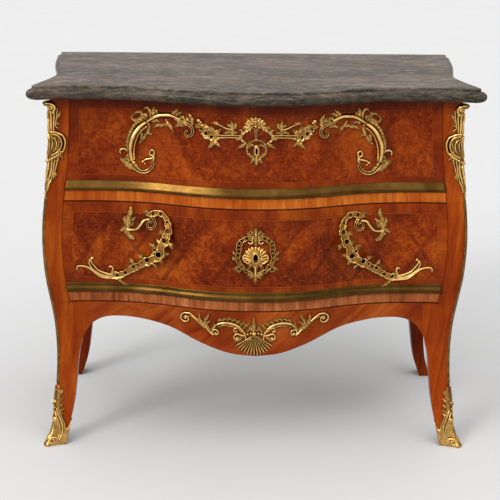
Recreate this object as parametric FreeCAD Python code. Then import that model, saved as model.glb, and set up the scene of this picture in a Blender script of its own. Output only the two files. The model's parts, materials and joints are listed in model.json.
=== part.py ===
import FreeCAD, Part
import math
import os

# Commode chest of two drawers in the rococo manner: a bombe, serpentine carcass under a marble top,
# with cast and gilt brass mounts. Millimetres; +X to the right, +Y to the back, +Z up.
# The origin is on the floor under the middle of the marble top.

V = FreeCAD.Vector
UP = V(0, 0, 1)
PARTS = "parts"

# ---- driving dimensions --------------------------------------------------------------------------

# marble top
MARBLE_LENGTH = 1044.0
MARBLE_DEPTH = 562.0
MARBLE_THICKNESS = 33.0
MARBLE_OVERHANG = 46.0          # past the case at the front and the ends
MARBLE_BACK_OVERHANG = 10.0
MARBLE_WAIST = 42.0             # how far the marble's ends draw in

# heights of the case, from the floor up
APRON_CLEARANCE = 242.0         # floor to the middle of the apron's lower edge
APRON_HEIGHT = 111.0            # at the middle
LOWER_FRONT_HEIGHT = 248.0
UPPER_FRONT_HEIGHT = 240.0
FRONT_GAP = 2.0                 # between a drawer front and what is above or below it

# plan of the case
SERPENTINE_DEPTH = 72.0         # how far the middle of the front stands before its ends
SERPENTINE_END = 104.0          # plain front between the case's end and the serpentine
CORNER_SWEEP = 13.0             # the corners turn forward by this
CORNER_SWEEP_WIDTH = 80.0
CORNER_FLAT = 7.0               # legs of the flat that carries the corner mounts
CASE_WAIST = 32.0               # how far the sides of the case draw in

# posts and legs
POST_WIDTH = 44.0
POST_DEPTH = 47.0               # from the corner's tip at the top of the case
REAR_POST_DEPTH = 45.0
KNEE_WIDTH = 69.0               # from the corner's line at the top to the apron's end
FRONT_LEG_REACH = 44.0          # depth of the front leg at the floor, seen from the side
REAR_LEG_WIDTH = 28.0           # width of the rear leg at the floor, seen from behind
REAR_LEG_SPREAD = 9.0           # how much it grows upwards, and again at its shoulder
REAR_SHOULDER = 0.14            # drop of the shoulder below the apron's top, as a share of the case

# carcass
SIDE_BLANK = 56.0               # from the corner's line at the top to a side's flat inner face
RAIL_THICKNESS = 22.0
RAIL_DEPTH = 51.0               # of a front rail at its ends
BACK_THICKNESS = 14.0
PANEL_THICKNESS = 8.0
RUNNER_WIDTH = 38.0

# drawers
FRONT_THICKNESS = 22.0          # at the thinnest place, the top ends
FRONT_END_GAP = 1.0
RAIL_REBATE = 1.0               # between a front's inner face and the rails it covers
RAIL_COVER = 10.0               # how far a front covers the rail below it
SIDE_THICKNESS = 12.0
SIDE_RUNNING_GAP = 2.0
TOP_RUNNING_GAP = 4.0
DRAWER_BACK_GAP = 19.0          # between a drawer and the back panel
BOTTOM_THICKNESS = 8.0
BOTTOM_RISE = 7.0               # from the lower edge of the sides to the drawer's bottom
GROOVE_DEPTH = 4.0
STOP_GAP = 0.5
STOP_THICKNESS = 12.0
STOP_HEIGHT = 10.0

# brass mouldings
BAND_HEIGHT = 25.0              # the cross-banded strip under a moulding
MOULDING_HEIGHT = 24.0
MOULDING_PROJECTION = 7.0

# locks
LOCK_WIDTH = 70.0
LOCK_THICKNESS = 12.0
LOCK_BELOW_KEYHOLE = 18.0
KEYHOLE_RADIUS = 3.4
KEYHOLE_SLOT = 3.0
KEYHOLE_LENGTH = 9.0
BOLT_WIDTH = 24.0
BOLT_THICKNESS = 5.0
BOLT_LENGTH = 36.0
BOLT_GAP = 0.4
BOLT_THROW = 8.0

# cast mounts
SEAT = 0.4                      # a casting lies this far from the veneer
UPPER_CARTOUCHE_RISE = 138.0    # from the lower edge of a drawer front to its mounts' middles
LOWER_CARTOUCHE_RISE = 139.0
UPPER_PULL_RISE = 140.0
LOWER_PULL_RISE = 145.0
UPPER_PULL_INSET = 242.0        # from the case's end to a pull's middle
LOWER_PULL_INSET = 174.0
PULL_STAND_OFF = 17.0           # finger room behind the middle of a pull
CARTOUCHE_THICKNESS = 4.0
SHELL_RISE = 55.0               # from the apron's lower edge to the hub of the shell
SHELL_RADIUS = 52.0
CORNER_MOUNT_DROP = 5.0         # below the marble
CORNER_MOUNT_HEIGHT = 224.0
SHOE_HEIGHT = 36.0
LEAF_TOP = 142.0                # of the leaf that climbs from the shoe
SHOE_THICKNESS = 3.0
SHOE_SEAT = 0.5                 # between the foot and its shoe
STRIP_WIDTH = 9.0
STRIP_THICKNESS = 1.6
STRIP_TOP_GAP = 2.0             # between a corner strip and the mounts above and below it
STRIP_FOOT_GAP = 3.0
STUD_RADIUS = 2.5
STUD_HOLE_GAP = 0.2
NUT_RADIUS = 5.5
NUT_THICKNESS = 3.0

# ---- sizes that follow ---------------------------------------------------------------------------

HALF_LENGTH = MARBLE_LENGTH / 2
HALF_DEPTH = MARBLE_DEPTH / 2
APRON_TOP = APRON_CLEARANCE + APRON_HEIGHT
LOWER_FRONT_BOTTOM = APRON_TOP + FRONT_GAP
LOWER_FRONT_TOP = LOWER_FRONT_BOTTOM + LOWER_FRONT_HEIGHT
UPPER_FRONT_BOTTOM = LOWER_FRONT_TOP + FRONT_GAP
UPPER_FRONT_TOP = UPPER_FRONT_BOTTOM + UPPER_FRONT_HEIGHT
CASE_TOP = UPPER_FRONT_TOP + FRONT_GAP
CASE_HALF = HALF_LENGTH - MARBLE_OVERHANG - FRONT_GAP
CASE_BACK = HALF_DEPTH - MARBLE_BACK_OVERHANG
CASE_END_Y = HALF_DEPTH - MARBLE_OVERHANG - SERPENTINE_DEPTH
SERPENTINE_HALF_WIDTH = CASE_HALF - SERPENTINE_END
SERPENTINE_RADIUS = (SERPENTINE_HALF_WIDTH ** 2 + SERPENTINE_DEPTH ** 2) / (4 * SERPENTINE_DEPTH)
INNER_END_Y = CASE_END_Y - FRONT_THICKNESS
POST_BACK_Y = POST_DEPTH - CORNER_SWEEP - CASE_END_Y
KNEE_X = CASE_HALF - KNEE_WIDTH
SIDE_INNER_X = CASE_HALF - SIDE_BLANK
RAIL_BACK_Y = RAIL_DEPTH - INNER_END_Y
REAR_POST_FRONT_Y = CASE_BACK - REAR_POST_DEPTH
BACK_FRONT_Y = CASE_BACK - BACK_THICKNESS
DRAWER_BACK_Y = BACK_FRONT_Y - DRAWER_BACK_GAP
DIVIDER_TOP = UPPER_FRONT_BOTTOM + RAIL_COVER
DIVIDER_BOTTOM = DIVIDER_TOP - RAIL_THICKNESS
BOTTOM_RAIL_TOP = LOWER_FRONT_BOTTOM + RAIL_COVER
BOTTOM_RAIL_BOTTOM = BOTTOM_RAIL_TOP - RAIL_THICKNESS
TOP_RAIL_BOTTOM = CASE_TOP - RAIL_THICKNESS
DRAWER_SIDE_X = SIDE_INNER_X - SIDE_RUNNING_GAP
MARBLE_CORNER = 1.6 * CORNER_FLAT
UPPER_CARTOUCHE_Z = UPPER_FRONT_BOTTOM + UPPER_CARTOUCHE_RISE
LOWER_CARTOUCHE_Z = LOWER_FRONT_BOTTOM + LOWER_CARTOUCHE_RISE
UPPER_PULL_X = CASE_HALF - UPPER_PULL_INSET
UPPER_PULL_Z = UPPER_FRONT_BOTTOM + UPPER_PULL_RISE
LOWER_PULL_X = CASE_HALF - LOWER_PULL_INSET
LOWER_PULL_Z = LOWER_FRONT_BOTTOM + LOWER_PULL_RISE

# The swell of the case. Each row is a height, as a share of the case's, and how far the corner
# stands outside its place at the top: to the side, and to the front.
SWELL = (
    (0.00, 29.0, 50.0), (0.06, 14.0, 32.0), (0.14, 6.5, 17.0), (0.26, 1.0, 6.0), (0.355, 4.5, 3.5),
    (0.42, 12.0, 8.0), (0.50, 21.5, 16.0), (0.59, 25.0, 20.0), (0.66, 22.8, 18.5), (0.72, 17.5, 15.0),
    (0.80, 9.5, 7.5), (0.90, 3.0, 2.5), (1.00, 0.0, 0.0),
)

# The plan of one end, from the front corner to the back: poles of a curve, as shares of the waist.
WAIST = (0.0, 0.6, 2.25, 0.1, 0.5, 0.25)

# The leg seen from the front: height as a share of the apron's clearance, width from the corner.
FRONT_LEG = ((0.0, 44.0), (0.19, 41.0), (0.45, 46.0), (0.70, 48.0), (0.89, 51.0), (1.04, 60.0))

# The back of the front leg seen from the side: share of the height, share of the way to the post's.
LEG_BACK = ((0.0, 0.0), (0.4, 0.62), (1.0, 1.0))

# The side panel's lower edge: share of its depth, rise over its ends.
SIDE_EDGE = ((0.0, 0.0), (0.14, 24.0), (0.34, 18.0), (0.5, 6.0), (0.66, 18.0), (0.86, 24.0), (1.0, 0.0))

# The apron's lower edge: share of the way to the knee, rise over the middle.
APRON_EDGE = (
    (0.0, 0.0), (0.15, 6.0), (0.31, 26.5), (0.49, 57.0), (0.67, 71.5), (0.80, 75.0), (0.89, 71.0),
    (0.96, 56.0), (1.0, 35.0),
)

# The nosing of the marble: share of the thickness, distance inside the widest line.
NOSING = ((0.0, 20.0), (0.15, 6.0), (0.45, 0.0), (0.76, 3.0), (1.0, 13.0))

BANDS = 19                      # straight-ruled heights that the swelling case is made of
TURN_FACETS = 3                 # and the facets of each turned corner


# ---- curves --------------------------------------------------------------------------------------

def smooth(rows, t, column=1):
    """Value of a column at t on a smooth curve through the rows."""
    last = len(rows) - 1
    t = min(max(t, rows[0][0]), rows[last][0])
    i = 0
    while i < last - 1 and t > rows[i + 1][0]:
        i += 1

    def slope(k):
        a, b = rows[max(k - 1, 0)], rows[min(k + 1, last)]
        return (b[column] - a[column]) / (b[0] - a[0])

    span = rows[i + 1][0] - rows[i][0]
    s = (t - rows[i][0]) / span
    start = (2 * s ** 3 - 3 * s ** 2 + 1) * rows[i][column] + (s ** 3 - 2 * s ** 2 + s) * span * slope(i)
    end = (3 * s ** 2 - 2 * s ** 3) * rows[i + 1][column] + (s ** 3 - s ** 2) * span * slope(i + 1)
    return start + end


def swell(z, column):
    """The swell at a height; straight between the ends of one band."""
    place = min(max(z / CASE_TOP, 0.0), 1.0) * BANDS
    band = min(int(place), BANDS - 1)
    low, high = (smooth(SWELL, k / BANDS, column) for k in (band, band + 1))
    return low + (high - low) * (place - band)


def corner_x(z):
    return CASE_HALF + swell(z, 1)


def end_y(z):
    """Depth of the plain ends of the front, before the origin."""
    return CASE_END_Y + swell(z, 2)


def serpentine(x):
    """How far the front stands before its plain ends, on three tangent arcs."""
    x = abs(x)
    r = SERPENTINE_RADIUS
    if x <= SERPENTINE_HALF_WIDTH / 2:
        return SERPENTINE_DEPTH - (r - math.sqrt(r * r - x * x))
    if x < SERPENTINE_HALF_WIDTH:
        return r - math.sqrt(r * r - (SERPENTINE_HALF_WIDTH - x) ** 2)
    return 0.0


def sweep(x, corner):
    """How far a corner turns forward."""
    place = max(abs(x) - (corner - CORNER_SWEEP_WIDTH), 0.0) / CORNER_SWEEP_WIDTH * TURN_FACETS
    facet = int(place)
    low, high = ((k / TURN_FACETS) ** 2 for k in (facet, facet + 1))
    return CORNER_SWEEP * (low + (high - low) * (place - facet))


def front_y(x, z):
    return -(end_y(z) + serpentine(x) + sweep(x, corner_x(z)))


def waist(t):
    """How far an end draws in, as a share, on the curve that has the WAIST poles."""
    n = len(WAIST) - 1
    return sum(math.comb(n, i) * t ** i * (1 - t) ** (n - i) * pole for i, pole in enumerate(WAIST))


def side_x(y, z):
    corner_y = -(end_y(z) + CORNER_SWEEP - CORNER_FLAT)
    t = (y - corner_y) / (CASE_BACK - corner_y)
    return corner_x(z) - CASE_WAIST * waist(t)


def drawer_end(z0, z1, inset=0.0):
    """Front view of the line between a post and the drawers' right ends, with a corner at each band."""
    levels = [CASE_TOP * band / BANDS for band in range(BANDS + 1)]
    heights = [z0] + [z for z in levels if z0 < z < z1] + [z1]
    return [V(corner_x(z) - POST_WIDTH - inset, 0, z) for z in heights]


def arcs(points):
    """A chain of arcs, each through the next three points of an odd number of points."""
    return [Part.Arc(*points[i:i + 3]).toShape() for i in range(0, len(points) - 2, 2)]


def bezier(poles):
    curve = Part.BezierCurve()
    curve.setPoles(poles)
    return curve.toShape()


def line(a, b):
    return Part.makeLine(a, b)


def closed(points):
    return Part.Face(Part.makePolygon(points + [points[0]]))


def box(x0, x1, y0, y1, z0, z1):
    return Part.makeBox(x1 - x0, y1 - y0, z1 - z0, V(x0, y0, z0))


def mirrored(shape):
    return shape.mirror(V(0, 0, 0), V(1, 0, 0))


def serpentine_arcs(plain_y, z):
    """The swelling middle of a front line as three tangent arcs, from left to right."""
    def at(share):
        x = share * SERPENTINE_HALF_WIDTH
        return V(x, -(plain_y + serpentine(x)), z)

    thirds = ((-1.0, -0.75, -0.5), (-0.5, 0.0, 0.5), (0.5, 0.75, 1.0))
    return [Part.Arc(at(a), at(b), at(c)).toShape() for a, b, c in thirds]


def plan_wire(z, corner, plain_y, flat, back, draw, round_corner):
    """A closed plan outline at one height: serpentine front, turned corners, waisted ends."""
    turned = [corner - CORNER_SWEEP_WIDTH * (1 - k / TURN_FACETS) for k in range(TURN_FACETS)]
    front = [V(x, -(plain_y + sweep(x, corner)), z)
             for x in [SERPENTINE_HALF_WIDTH] + turned + [corner - flat]]
    corner_y = -(plain_y + CORNER_SWEEP - flat)
    n = len(WAIST) - 1
    side = [V(corner - draw * pole, corner_y + (back - corner_y) * i / n, z)
            for i, pole in enumerate(WAIST)]
    tips = []
    for across, back_share in ((0.55, 0.15), (0.15, 0.55)) if round_corner else ():
        tips.append(V(corner - flat * across, -(plain_y + CORNER_SWEEP - flat * back_share), z))
    front += tips + [side[0]]

    def half(sign):
        ridge = [V(sign * p.x, p.y, z) for p in front]
        end = [V(sign * p.x, p.y, z) for p in side]
        return [line(a, b) for a, b in zip(ridge, ridge[1:])] + [bezier(end)]

    across = line(side[-1], V(-side[-1].x, side[-1].y, z))
    return Part.Wire(Part.__sortEdges__(serpentine_arcs(plain_y, z) + half(1) + [across] + half(-1)))


def case_form():
    """The outside of the case and legs as one swelling solid."""
    wires = []
    for band in range(BANDS + 1):
        z = CASE_TOP * band / BANDS
        wires.append(plan_wire(z, corner_x(z), end_y(z), CORNER_FLAT, CASE_BACK, CASE_WAIST, False))
    return Part.makeLoft(wires, True, True)


def behind_front(half_x, back_y, z0, z1, shift=0.0):
    """A board with a serpentine front edge that follows the inner faces of the fronts."""
    plain_y = INNER_END_Y - shift
    arcs = serpentine_arcs(plain_y, z0)
    corners = [V(SERPENTINE_HALF_WIDTH, -plain_y, z0), V(half_x, -plain_y, z0), V(half_x, back_y, z0),
               V(-half_x, back_y, z0), V(-half_x, -plain_y, z0), V(-SERPENTINE_HALF_WIDTH, -plain_y, z0)]
    straight = [line(a, b) for a, b in zip(corners, corners[1:])]
    return Part.Face(Part.Wire(arcs + straight)).extrude(V(0, 0, z1 - z0))


def elevation(edges, y0, y1):
    """A prism from an outline drawn in the X-Z plane."""
    prism = Part.Face(Part.Wire(edges)).extrude(V(0, y1 - y0, 0))
    prism.translate(V(0, y0, 0))
    return prism


# ---- marble --------------------------------------------------------------------------------------

def marble_top():
    wires = []
    for share, inset in NOSING:
        z = CASE_TOP + MARBLE_THICKNESS * share
        wires.append(plan_wire(z, HALF_LENGTH - inset, HALF_DEPTH - SERPENTINE_DEPTH - inset,
                               MARBLE_CORNER, HALF_DEPTH, MARBLE_WAIST, True))
    return Part.makeLoft(wires, True, True)


# ---- posts and legs ------------------------------------------------------------------------------

def front_leg_x(share):
    """Inner edge of a front leg at a share of the apron's clearance."""
    z = share * APRON_CLEARANCE
    return corner_x(z) - smooth(FRONT_LEG, share)


def apron_z(share):
    return APRON_CLEARANCE + smooth(APRON_EDGE, share)


def front_post_outline():
    """Front view of the right post: drawer end line, knee block, inner edge of the leg."""
    far = HALF_LENGTH + MARBLE_OVERHANG
    knee = [V(KNEE_X, 0, apron_z(1.0)), V(KNEE_X, 0, APRON_TOP)]
    leg = [V(front_leg_x(share), 0, share * APRON_CLEARANCE) for share, width in FRONT_LEG]
    leg.append(knee[0])
    straight = knee + drawer_end(APRON_TOP, CASE_TOP) + [V(far, 0, CASE_TOP), V(far, 0, 0), leg[0]]
    return arcs(leg) + [line(a, b) for a, b in zip(straight, straight[1:])]


def leg_back_y(z):
    """Back of a front leg, seen from the side."""
    foot_y = FRONT_LEG_REACH - CORNER_SWEEP - end_y(0)
    return foot_y + (POST_BACK_Y - foot_y) * smooth(LEG_BACK, z / apron_z(1.0))


def front_post(form):
    depth = HALF_DEPTH + MARBLE_OVERHANG
    band = elevation(front_post_outline(), -depth, POST_BACK_Y)
    knee_z = apron_z(1.0)
    middle = (SHOE_HEIGHT + knee_z) / 2
    levels = (0, SHOE_HEIGHT, middle, (middle + knee_z) / 2, knee_z)
    edge = [V(0, leg_back_y(z), z) for z in levels]
    far = V(0, POST_BACK_Y + POST_DEPTH, 0)
    wire = Part.Wire(arcs(edge) + [line(edge[-1], far + UP * knee_z), line(far + UP * knee_z, far),
                                   line(far, edge[0])])
    hollow = Part.Face(wire).extrude(V(2 * HALF_LENGTH, 0, 0))
    return form.common(band).cut(hollow)


def rear_leg_x(z):
    """Inner edge of a rear leg."""
    share = z / APRON_CLEARANCE
    grown = REAR_LEG_WIDTH + REAR_LEG_SPREAD * share + REAR_LEG_SPREAD * share ** 4
    return side_x(REAR_POST_FRONT_Y, z) - grown


def rear_post(form):
    case_height = CASE_TOP - APRON_TOP
    leg = [V(rear_leg_x(APRON_CLEARANCE * i / 5), 0, APRON_CLEARANCE * i / 5) for i in range(6)]
    shoulder = V(SIDE_INNER_X, 0, APRON_TOP - case_height * REAR_SHOULDER)
    leg.append(shoulder)
    far = HALF_LENGTH + MARBLE_OVERHANG
    straight = [shoulder, V(SIDE_INNER_X, 0, CASE_TOP), V(far, 0, CASE_TOP), V(far, 0, 0), leg[0]]
    outline = arcs(leg) + [line(a, b) for a, b in zip(straight, straight[1:])]
    return form.common(elevation(outline, REAR_POST_FRONT_Y, CASE_BACK))


def side_panel(form):
    """A bombe side between the posts, flat inside, with an arched lower edge."""
    y0, y1 = POST_BACK_Y, REAR_POST_FRONT_Y
    low = apron_z(1.0)
    edge = [V(0, y0 + (y1 - y0) * share, low + rise) for share, rise in SIDE_EDGE]
    straight = [edge[-1], V(0, y1, CASE_TOP), V(0, y0, CASE_TOP), edge[0]]
    wire = Part.Wire(arcs(edge) + [line(a, b) for a, b in zip(straight, straight[1:])])
    prism = Part.Face(wire).extrude(V(2 * HALF_LENGTH, 0, 0))
    prism.translate(V(SIDE_INNER_X, 0, 0))
    return form.common(prism)


# ---- apron and rails -----------------------------------------------------------------------------

def front_apron(form):
    edge = [V(KNEE_X * share, 0, apron_z(share)) for share, rise in APRON_EDGE]
    lower = [V(-p.x, 0, p.z) for p in edge[:0:-1]] + edge
    top_left, top_right = V(-KNEE_X, 0, APRON_TOP), V(KNEE_X, 0, APRON_TOP)
    straight = [lower[-1], top_right, top_left, lower[0]]
    outline = arcs(lower) + [line(a, b) for a, b in zip(straight, straight[1:])]
    depth = HALF_DEPTH + MARBLE_OVERHANG
    band = form.common(elevation(outline, -depth, 0))
    inside = behind_front(KNEE_X + POST_WIDTH, CASE_BACK, 0, CASE_TOP, RAIL_REBATE)
    return band.cut(inside)


def front_rail(z0, z1):
    return behind_front(SIDE_INNER_X, RAIL_BACK_Y, z0, z1, RAIL_REBATE)


def rear_rail(z0, z1):
    return box(-SIDE_INNER_X, SIDE_INNER_X, REAR_POST_FRONT_Y, BACK_FRONT_Y, z0, z1)


def runner(z0, z1):
    """Right-hand bar between a front and a rear rail, under or over a drawer's side."""
    return box(SIDE_INNER_X - RUNNER_WIDTH, SIDE_INNER_X, RAIL_BACK_Y, REAR_POST_FRONT_Y, z0, z1)


def dust_panel(z_top):
    """Thin board between the runners, level with the middle of the rails."""
    half = SIDE_INNER_X - RUNNER_WIDTH
    z = z_top - (RAIL_THICKNESS + PANEL_THICKNESS) / 2
    return box(-half, half, RAIL_BACK_Y, REAR_POST_FRONT_Y, z, z + PANEL_THICKNESS)


def back_panel():
    """Boards set between the rear posts behind the rear rails."""
    low = BOTTOM_RAIL_BOTTOM
    return box(-SIDE_INNER_X, SIDE_INNER_X, BACK_FRONT_Y, CASE_BACK, low, CASE_TOP)


def rear_stops():
    """A stop on each runner, just behind the drawer's back."""
    stops = []
    y = DRAWER_BACK_Y + STOP_GAP
    x = SIDE_INNER_X - RUNNER_WIDTH
    for z in (BOTTOM_RAIL_TOP, DIVIDER_TOP):
        stop = box(x, SIDE_INNER_X - SIDE_THICKNESS, y, y + STOP_THICKNESS, z, z + STOP_HEIGHT)
        stops += [stop, mirrored(stop)]
    return Part.makeCompound(stops)


def glue_blocks():
    """Triangular blocks under the bottom frame, in its four corners."""
    size = RUNNER_WIDTH
    blocks = []
    for y, turn in ((RAIL_BACK_Y, 1), (REAR_POST_FRONT_Y, -1)):
        z = BOTTOM_RAIL_BOTTOM - size
        face = closed([V(SIDE_INNER_X, y, z), V(SIDE_INNER_X, y + turn * size, z),
                       V(SIDE_INNER_X - size, y, z)])
        block = face.extrude(V(0, 0, size))
        blocks += [block, mirrored(block)]
    return Part.makeCompound(blocks)


# ---- drawers -------------------------------------------------------------------------------------

def drawer_outline(z0, z1, inset):
    """Front view of a drawer front, whose ends follow the posts."""
    right = drawer_end(z0, z1, inset)
    points = right + [V(-p.x, 0, p.z) for p in right[::-1]]
    return [line(a, b) for a, b in zip(points, points[1:] + points[:1])]


def keyhole(z, y0, y1):
    """A round hole over a slot, from front to back."""
    half = KEYHOLE_SLOT / 2
    foot = math.asin(half / KEYHOLE_RADIUS)
    points = [V(half, y0, z - KEYHOLE_LENGTH)]
    for i in range(9):
        angle = foot + (2 * math.pi - 2 * foot) * i / 8
        points.append(V(KEYHOLE_RADIUS * math.sin(angle), y0, z - KEYHOLE_RADIUS * math.cos(angle)))
    points.append(V(-half, y0, z - KEYHOLE_LENGTH))
    return closed(points).extrude(V(0, y1 - y0, 0))


def rod(x, z, radius, sides, y0, y1):
    """A many-sided rod that runs from front to back."""
    turns = [2 * math.pi * (i + 0.5) / sides for i in range(sides)]
    points = [V(x + radius * math.cos(turn), y0, z + radius * math.sin(turn)) for turn in turns]
    return closed(points).extrude(V(0, y1 - y0, 0))


def drawer_front(form, z0, z1, keyhole_z, studs):
    depth = HALF_DEPTH + MARBLE_OVERHANG
    blank = form.common(elevation(drawer_outline(z0, z1, FRONT_END_GAP), -depth, 0))
    front = blank.cut(behind_front(SIDE_INNER_X + 2 * POST_WIDTH, CASE_BACK, 0, CASE_TOP))
    front = front.cut(keyhole(keyhole_z, -depth, 0))
    for x, z in studs:
        for side in (-1, 1):
            front = front.cut(rod(side * x, z, STUD_RADIUS + STUD_HOLE_GAP, 6, -depth, 0))
    return front


def moulding(form, z0, z1):
    """Half-round brass moulding along a front, bowed out from the veneer."""
    rows = ((0.0, 0.2), (0.22, 0.9), (0.6, 1.0), (1.0, 0.2))
    wires = []
    for share, out in rows:
        z = z0 + (z1 - z0) * share
        grow = MOULDING_PROJECTION * out
        wires.append(plan_wire(z, corner_x(z) + grow, end_y(z) + grow, CORNER_FLAT, CASE_BACK,
                               CASE_WAIST, False))
    bowed = Part.makeLoft(wires, True, True)
    depth = HALF_DEPTH + MARBLE_OVERHANG
    band = bowed.common(elevation(drawer_outline(z0, z1, FRONT_END_GAP), -depth, 0))
    return band.cut(form)


def drawer_side(z0, z1):
    side = box(DRAWER_SIDE_X - SIDE_THICKNESS, DRAWER_SIDE_X, -INNER_END_Y, DRAWER_BACK_Y, z0, z1)
    inner = DRAWER_SIDE_X - SIDE_THICKNESS
    floor = z0 + BOTTOM_RISE
    groove = box(inner, inner + GROOVE_DEPTH, -INNER_END_Y, DRAWER_BACK_Y, floor,
                 floor + BOTTOM_THICKNESS)
    return side.cut(groove)


def drawer_back(z0, z1):
    half = DRAWER_SIDE_X - SIDE_THICKNESS
    floor = z0 + BOTTOM_RISE + BOTTOM_THICKNESS
    return box(-half, half, DRAWER_BACK_Y - SIDE_THICKNESS, DRAWER_BACK_Y, floor, z1)


def drawer_bottom(z0):
    half = DRAWER_SIDE_X - SIDE_THICKNESS + GROOVE_DEPTH
    floor = z0 + BOTTOM_RISE
    return behind_front(half, DRAWER_BACK_Y, floor, floor + BOTTOM_THICKNESS)


def lock_place(keyhole_z, top):
    """Box of a lock on the inner face of a front: low z, high z, front y."""
    return keyhole_z - LOCK_BELOW_KEYHOLE, top, -(INNER_END_Y + SERPENTINE_DEPTH)


def lock_channel_y():
    """Front face of the bolt's channel."""
    return -(INNER_END_Y + SERPENTINE_DEPTH) + (LOCK_THICKNESS - BOLT_THICKNESS) / 2


def lock_case(keyhole_z, top):
    z0, z1, y = lock_place(keyhole_z, top)
    case = box(-LOCK_WIDTH / 2, LOCK_WIDTH / 2, y, y + LOCK_THICKNESS, z0, z1)
    seat = behind_front(SIDE_INNER_X, CASE_BACK, 0, CASE_TOP)
    half = BOLT_WIDTH / 2 + BOLT_GAP
    channel_y = lock_channel_y()
    channel = box(-half, half, channel_y - BOLT_GAP, channel_y + BOLT_THICKNESS + BOLT_GAP,
                  z1 - BOLT_LENGTH - BOLT_GAP, z1)
    hole = keyhole(keyhole_z, y, y + LOCK_THICKNESS - STUD_RADIUS)
    return case.common(seat).cut(channel).cut(hole)


def lock_bolt(top):
    y = lock_channel_y()
    half = BOLT_WIDTH / 2
    return box(-half, half, y, y + BOLT_THICKNESS, top - BOLT_LENGTH, top)


def bolt_mortise(z):
    """The pocket in a rail that a bolt rises into."""
    y = lock_channel_y()
    half = BOLT_WIDTH / 2 + 2 * BOLT_GAP
    return box(-half, half, y - 2 * BOLT_GAP, y + BOLT_THICKNESS + 2 * BOLT_GAP, z,
               z + BOLT_THROW + BOLT_GAP)


# ---- cast mounts ---------------------------------------------------------------------------------

def facets(rings, level_rings=False):
    """A solid of flat facets through rings of points, closed at both ends."""
    faces = []
    count = len(rings[0])
    for a, b in zip(rings, rings[1:]):
        for i in range(count):
            j = (i + 1) % count
            faces.append(closed([a[i], a[j], b[j]]))
            faces.append(closed([a[i], b[j], b[i]]))
    for ring in (rings[0], rings[-1]):
        if level_rings:
            faces.append(closed(ring))
            continue
        middle = sum(ring, V(0, 0, 0)) / count
        for i in range(count):
            faces.append(closed([ring[i], ring[(i + 1) % count], middle]))
    solid = Part.Solid(Part.Shell(faces))
    return solid if solid.Volume > 0 else Part.Solid(solid.Shells[0].reversed())


def smooth_path(points, parts):
    """Points on a smooth curve through rows of numbers, with parts to each span."""
    rows = [(float(i),) + tuple(p) for i, p in enumerate(points)]
    width = len(points[0])
    path = []
    for i in range((len(points) - 1) * parts + 1):
        t = i / parts
        path.append(tuple(smooth(rows, t, k + 1) for k in range(width)))
    return path


# Section of a casting: share of the half width, share of the thickness.
CASTING = ((-1.0, 0.0), (-0.5, 1.0), (0.5, 1.0), (1.0, 0.0))


def scroll(centre, points, parts=1):
    """A tapering cast scroll on the front. Each point: right, up, half width, thickness, stand-off."""
    path = smooth_path(points, parts)
    rings = []
    last = len(path) - 1
    for i, (u, v, half, thick, off) in enumerate(path):
        before, after = path[max(i - 1, 0)], path[min(i + 1, last)]
        du, dv = after[0] - before[0], after[1] - before[1]
        length = math.hypot(du, dv)
        du, dv = du / length, dv / length
        ring = []
        for across, out in CASTING:
            x = centre[0] + u - dv * half * across
            z = centre[1] + v + du * half * across
            ring.append(V(x, front_y(x, z) - SEAT - off - thick * out, z))
        rings.append(ring)
    return facets(rings)


def joined(solids):
    whole = solids[0]
    for solid in solids[1:]:
        whole = whole.fuse(solid)
    return whole


def lower_pull():
    """Right-hand pull of the lower drawer: a long S-scroll with a volute and leafy ends."""
    centre = (LOWER_PULL_X, LOWER_PULL_Z)
    off = PULL_STAND_OFF
    band = scroll(centre, [
        (-54, 76, 5, 5, 0), (-62, 87, 6, 6, 0), (-78, 86, 8, 7, 1), (-95, 73, 9, 7, 4),
        (-100, 50, 9, 8, 0.6 * off), (-92, 20, 10, 8, off), (-72, -11, 11, 8, off),
        (-42, -37, 10, 8, 0.8 * off), (-8, -59, 9, 7, 0.35 * off), (30, -75, 8, 6, 0),
        (57, -73, 6, 5, 0), (77, -63, 4, 4, 0), (86, -50, 3, 3, 0), (84, -36, 2, 3, 0)], 2)
    volute = scroll(centre, [(-54, 76, 4, 5, 0), (-58, 62, 4, 5, 0), (-66, 50, 4, 5, 0),
                             (-54, 44, 4, 5, 0), (-47, 53, 3, 5, 0)])
    branch = scroll(centre, [(-60, 62, 3, 4, 0), (-38, 64, 3, 4, 0), (-22, 46, 3, 4, 0),
                             (-8, 36, 3, 4, 0), (12, 38, 4, 4, 0)])
    spray = scroll(centre, [(-13, 18, 4, 4, 0), (-5, 26, 5, 4, 0), (-2, 40, 5, 5, 0),
                            (-6, 62, 6, 5, 0), (-8, 87, 2, 3, 0)])
    tendril = scroll(centre, [(40, -75, 3, 4, 0), (69, -75, 3, 4, 0), (92, -58, 3, 4, 0),
                              (109, -53, 3, 3, 0), (122, -60, 2, 3, 0)])
    return joined([band, volute, branch, spray, tendril])


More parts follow.
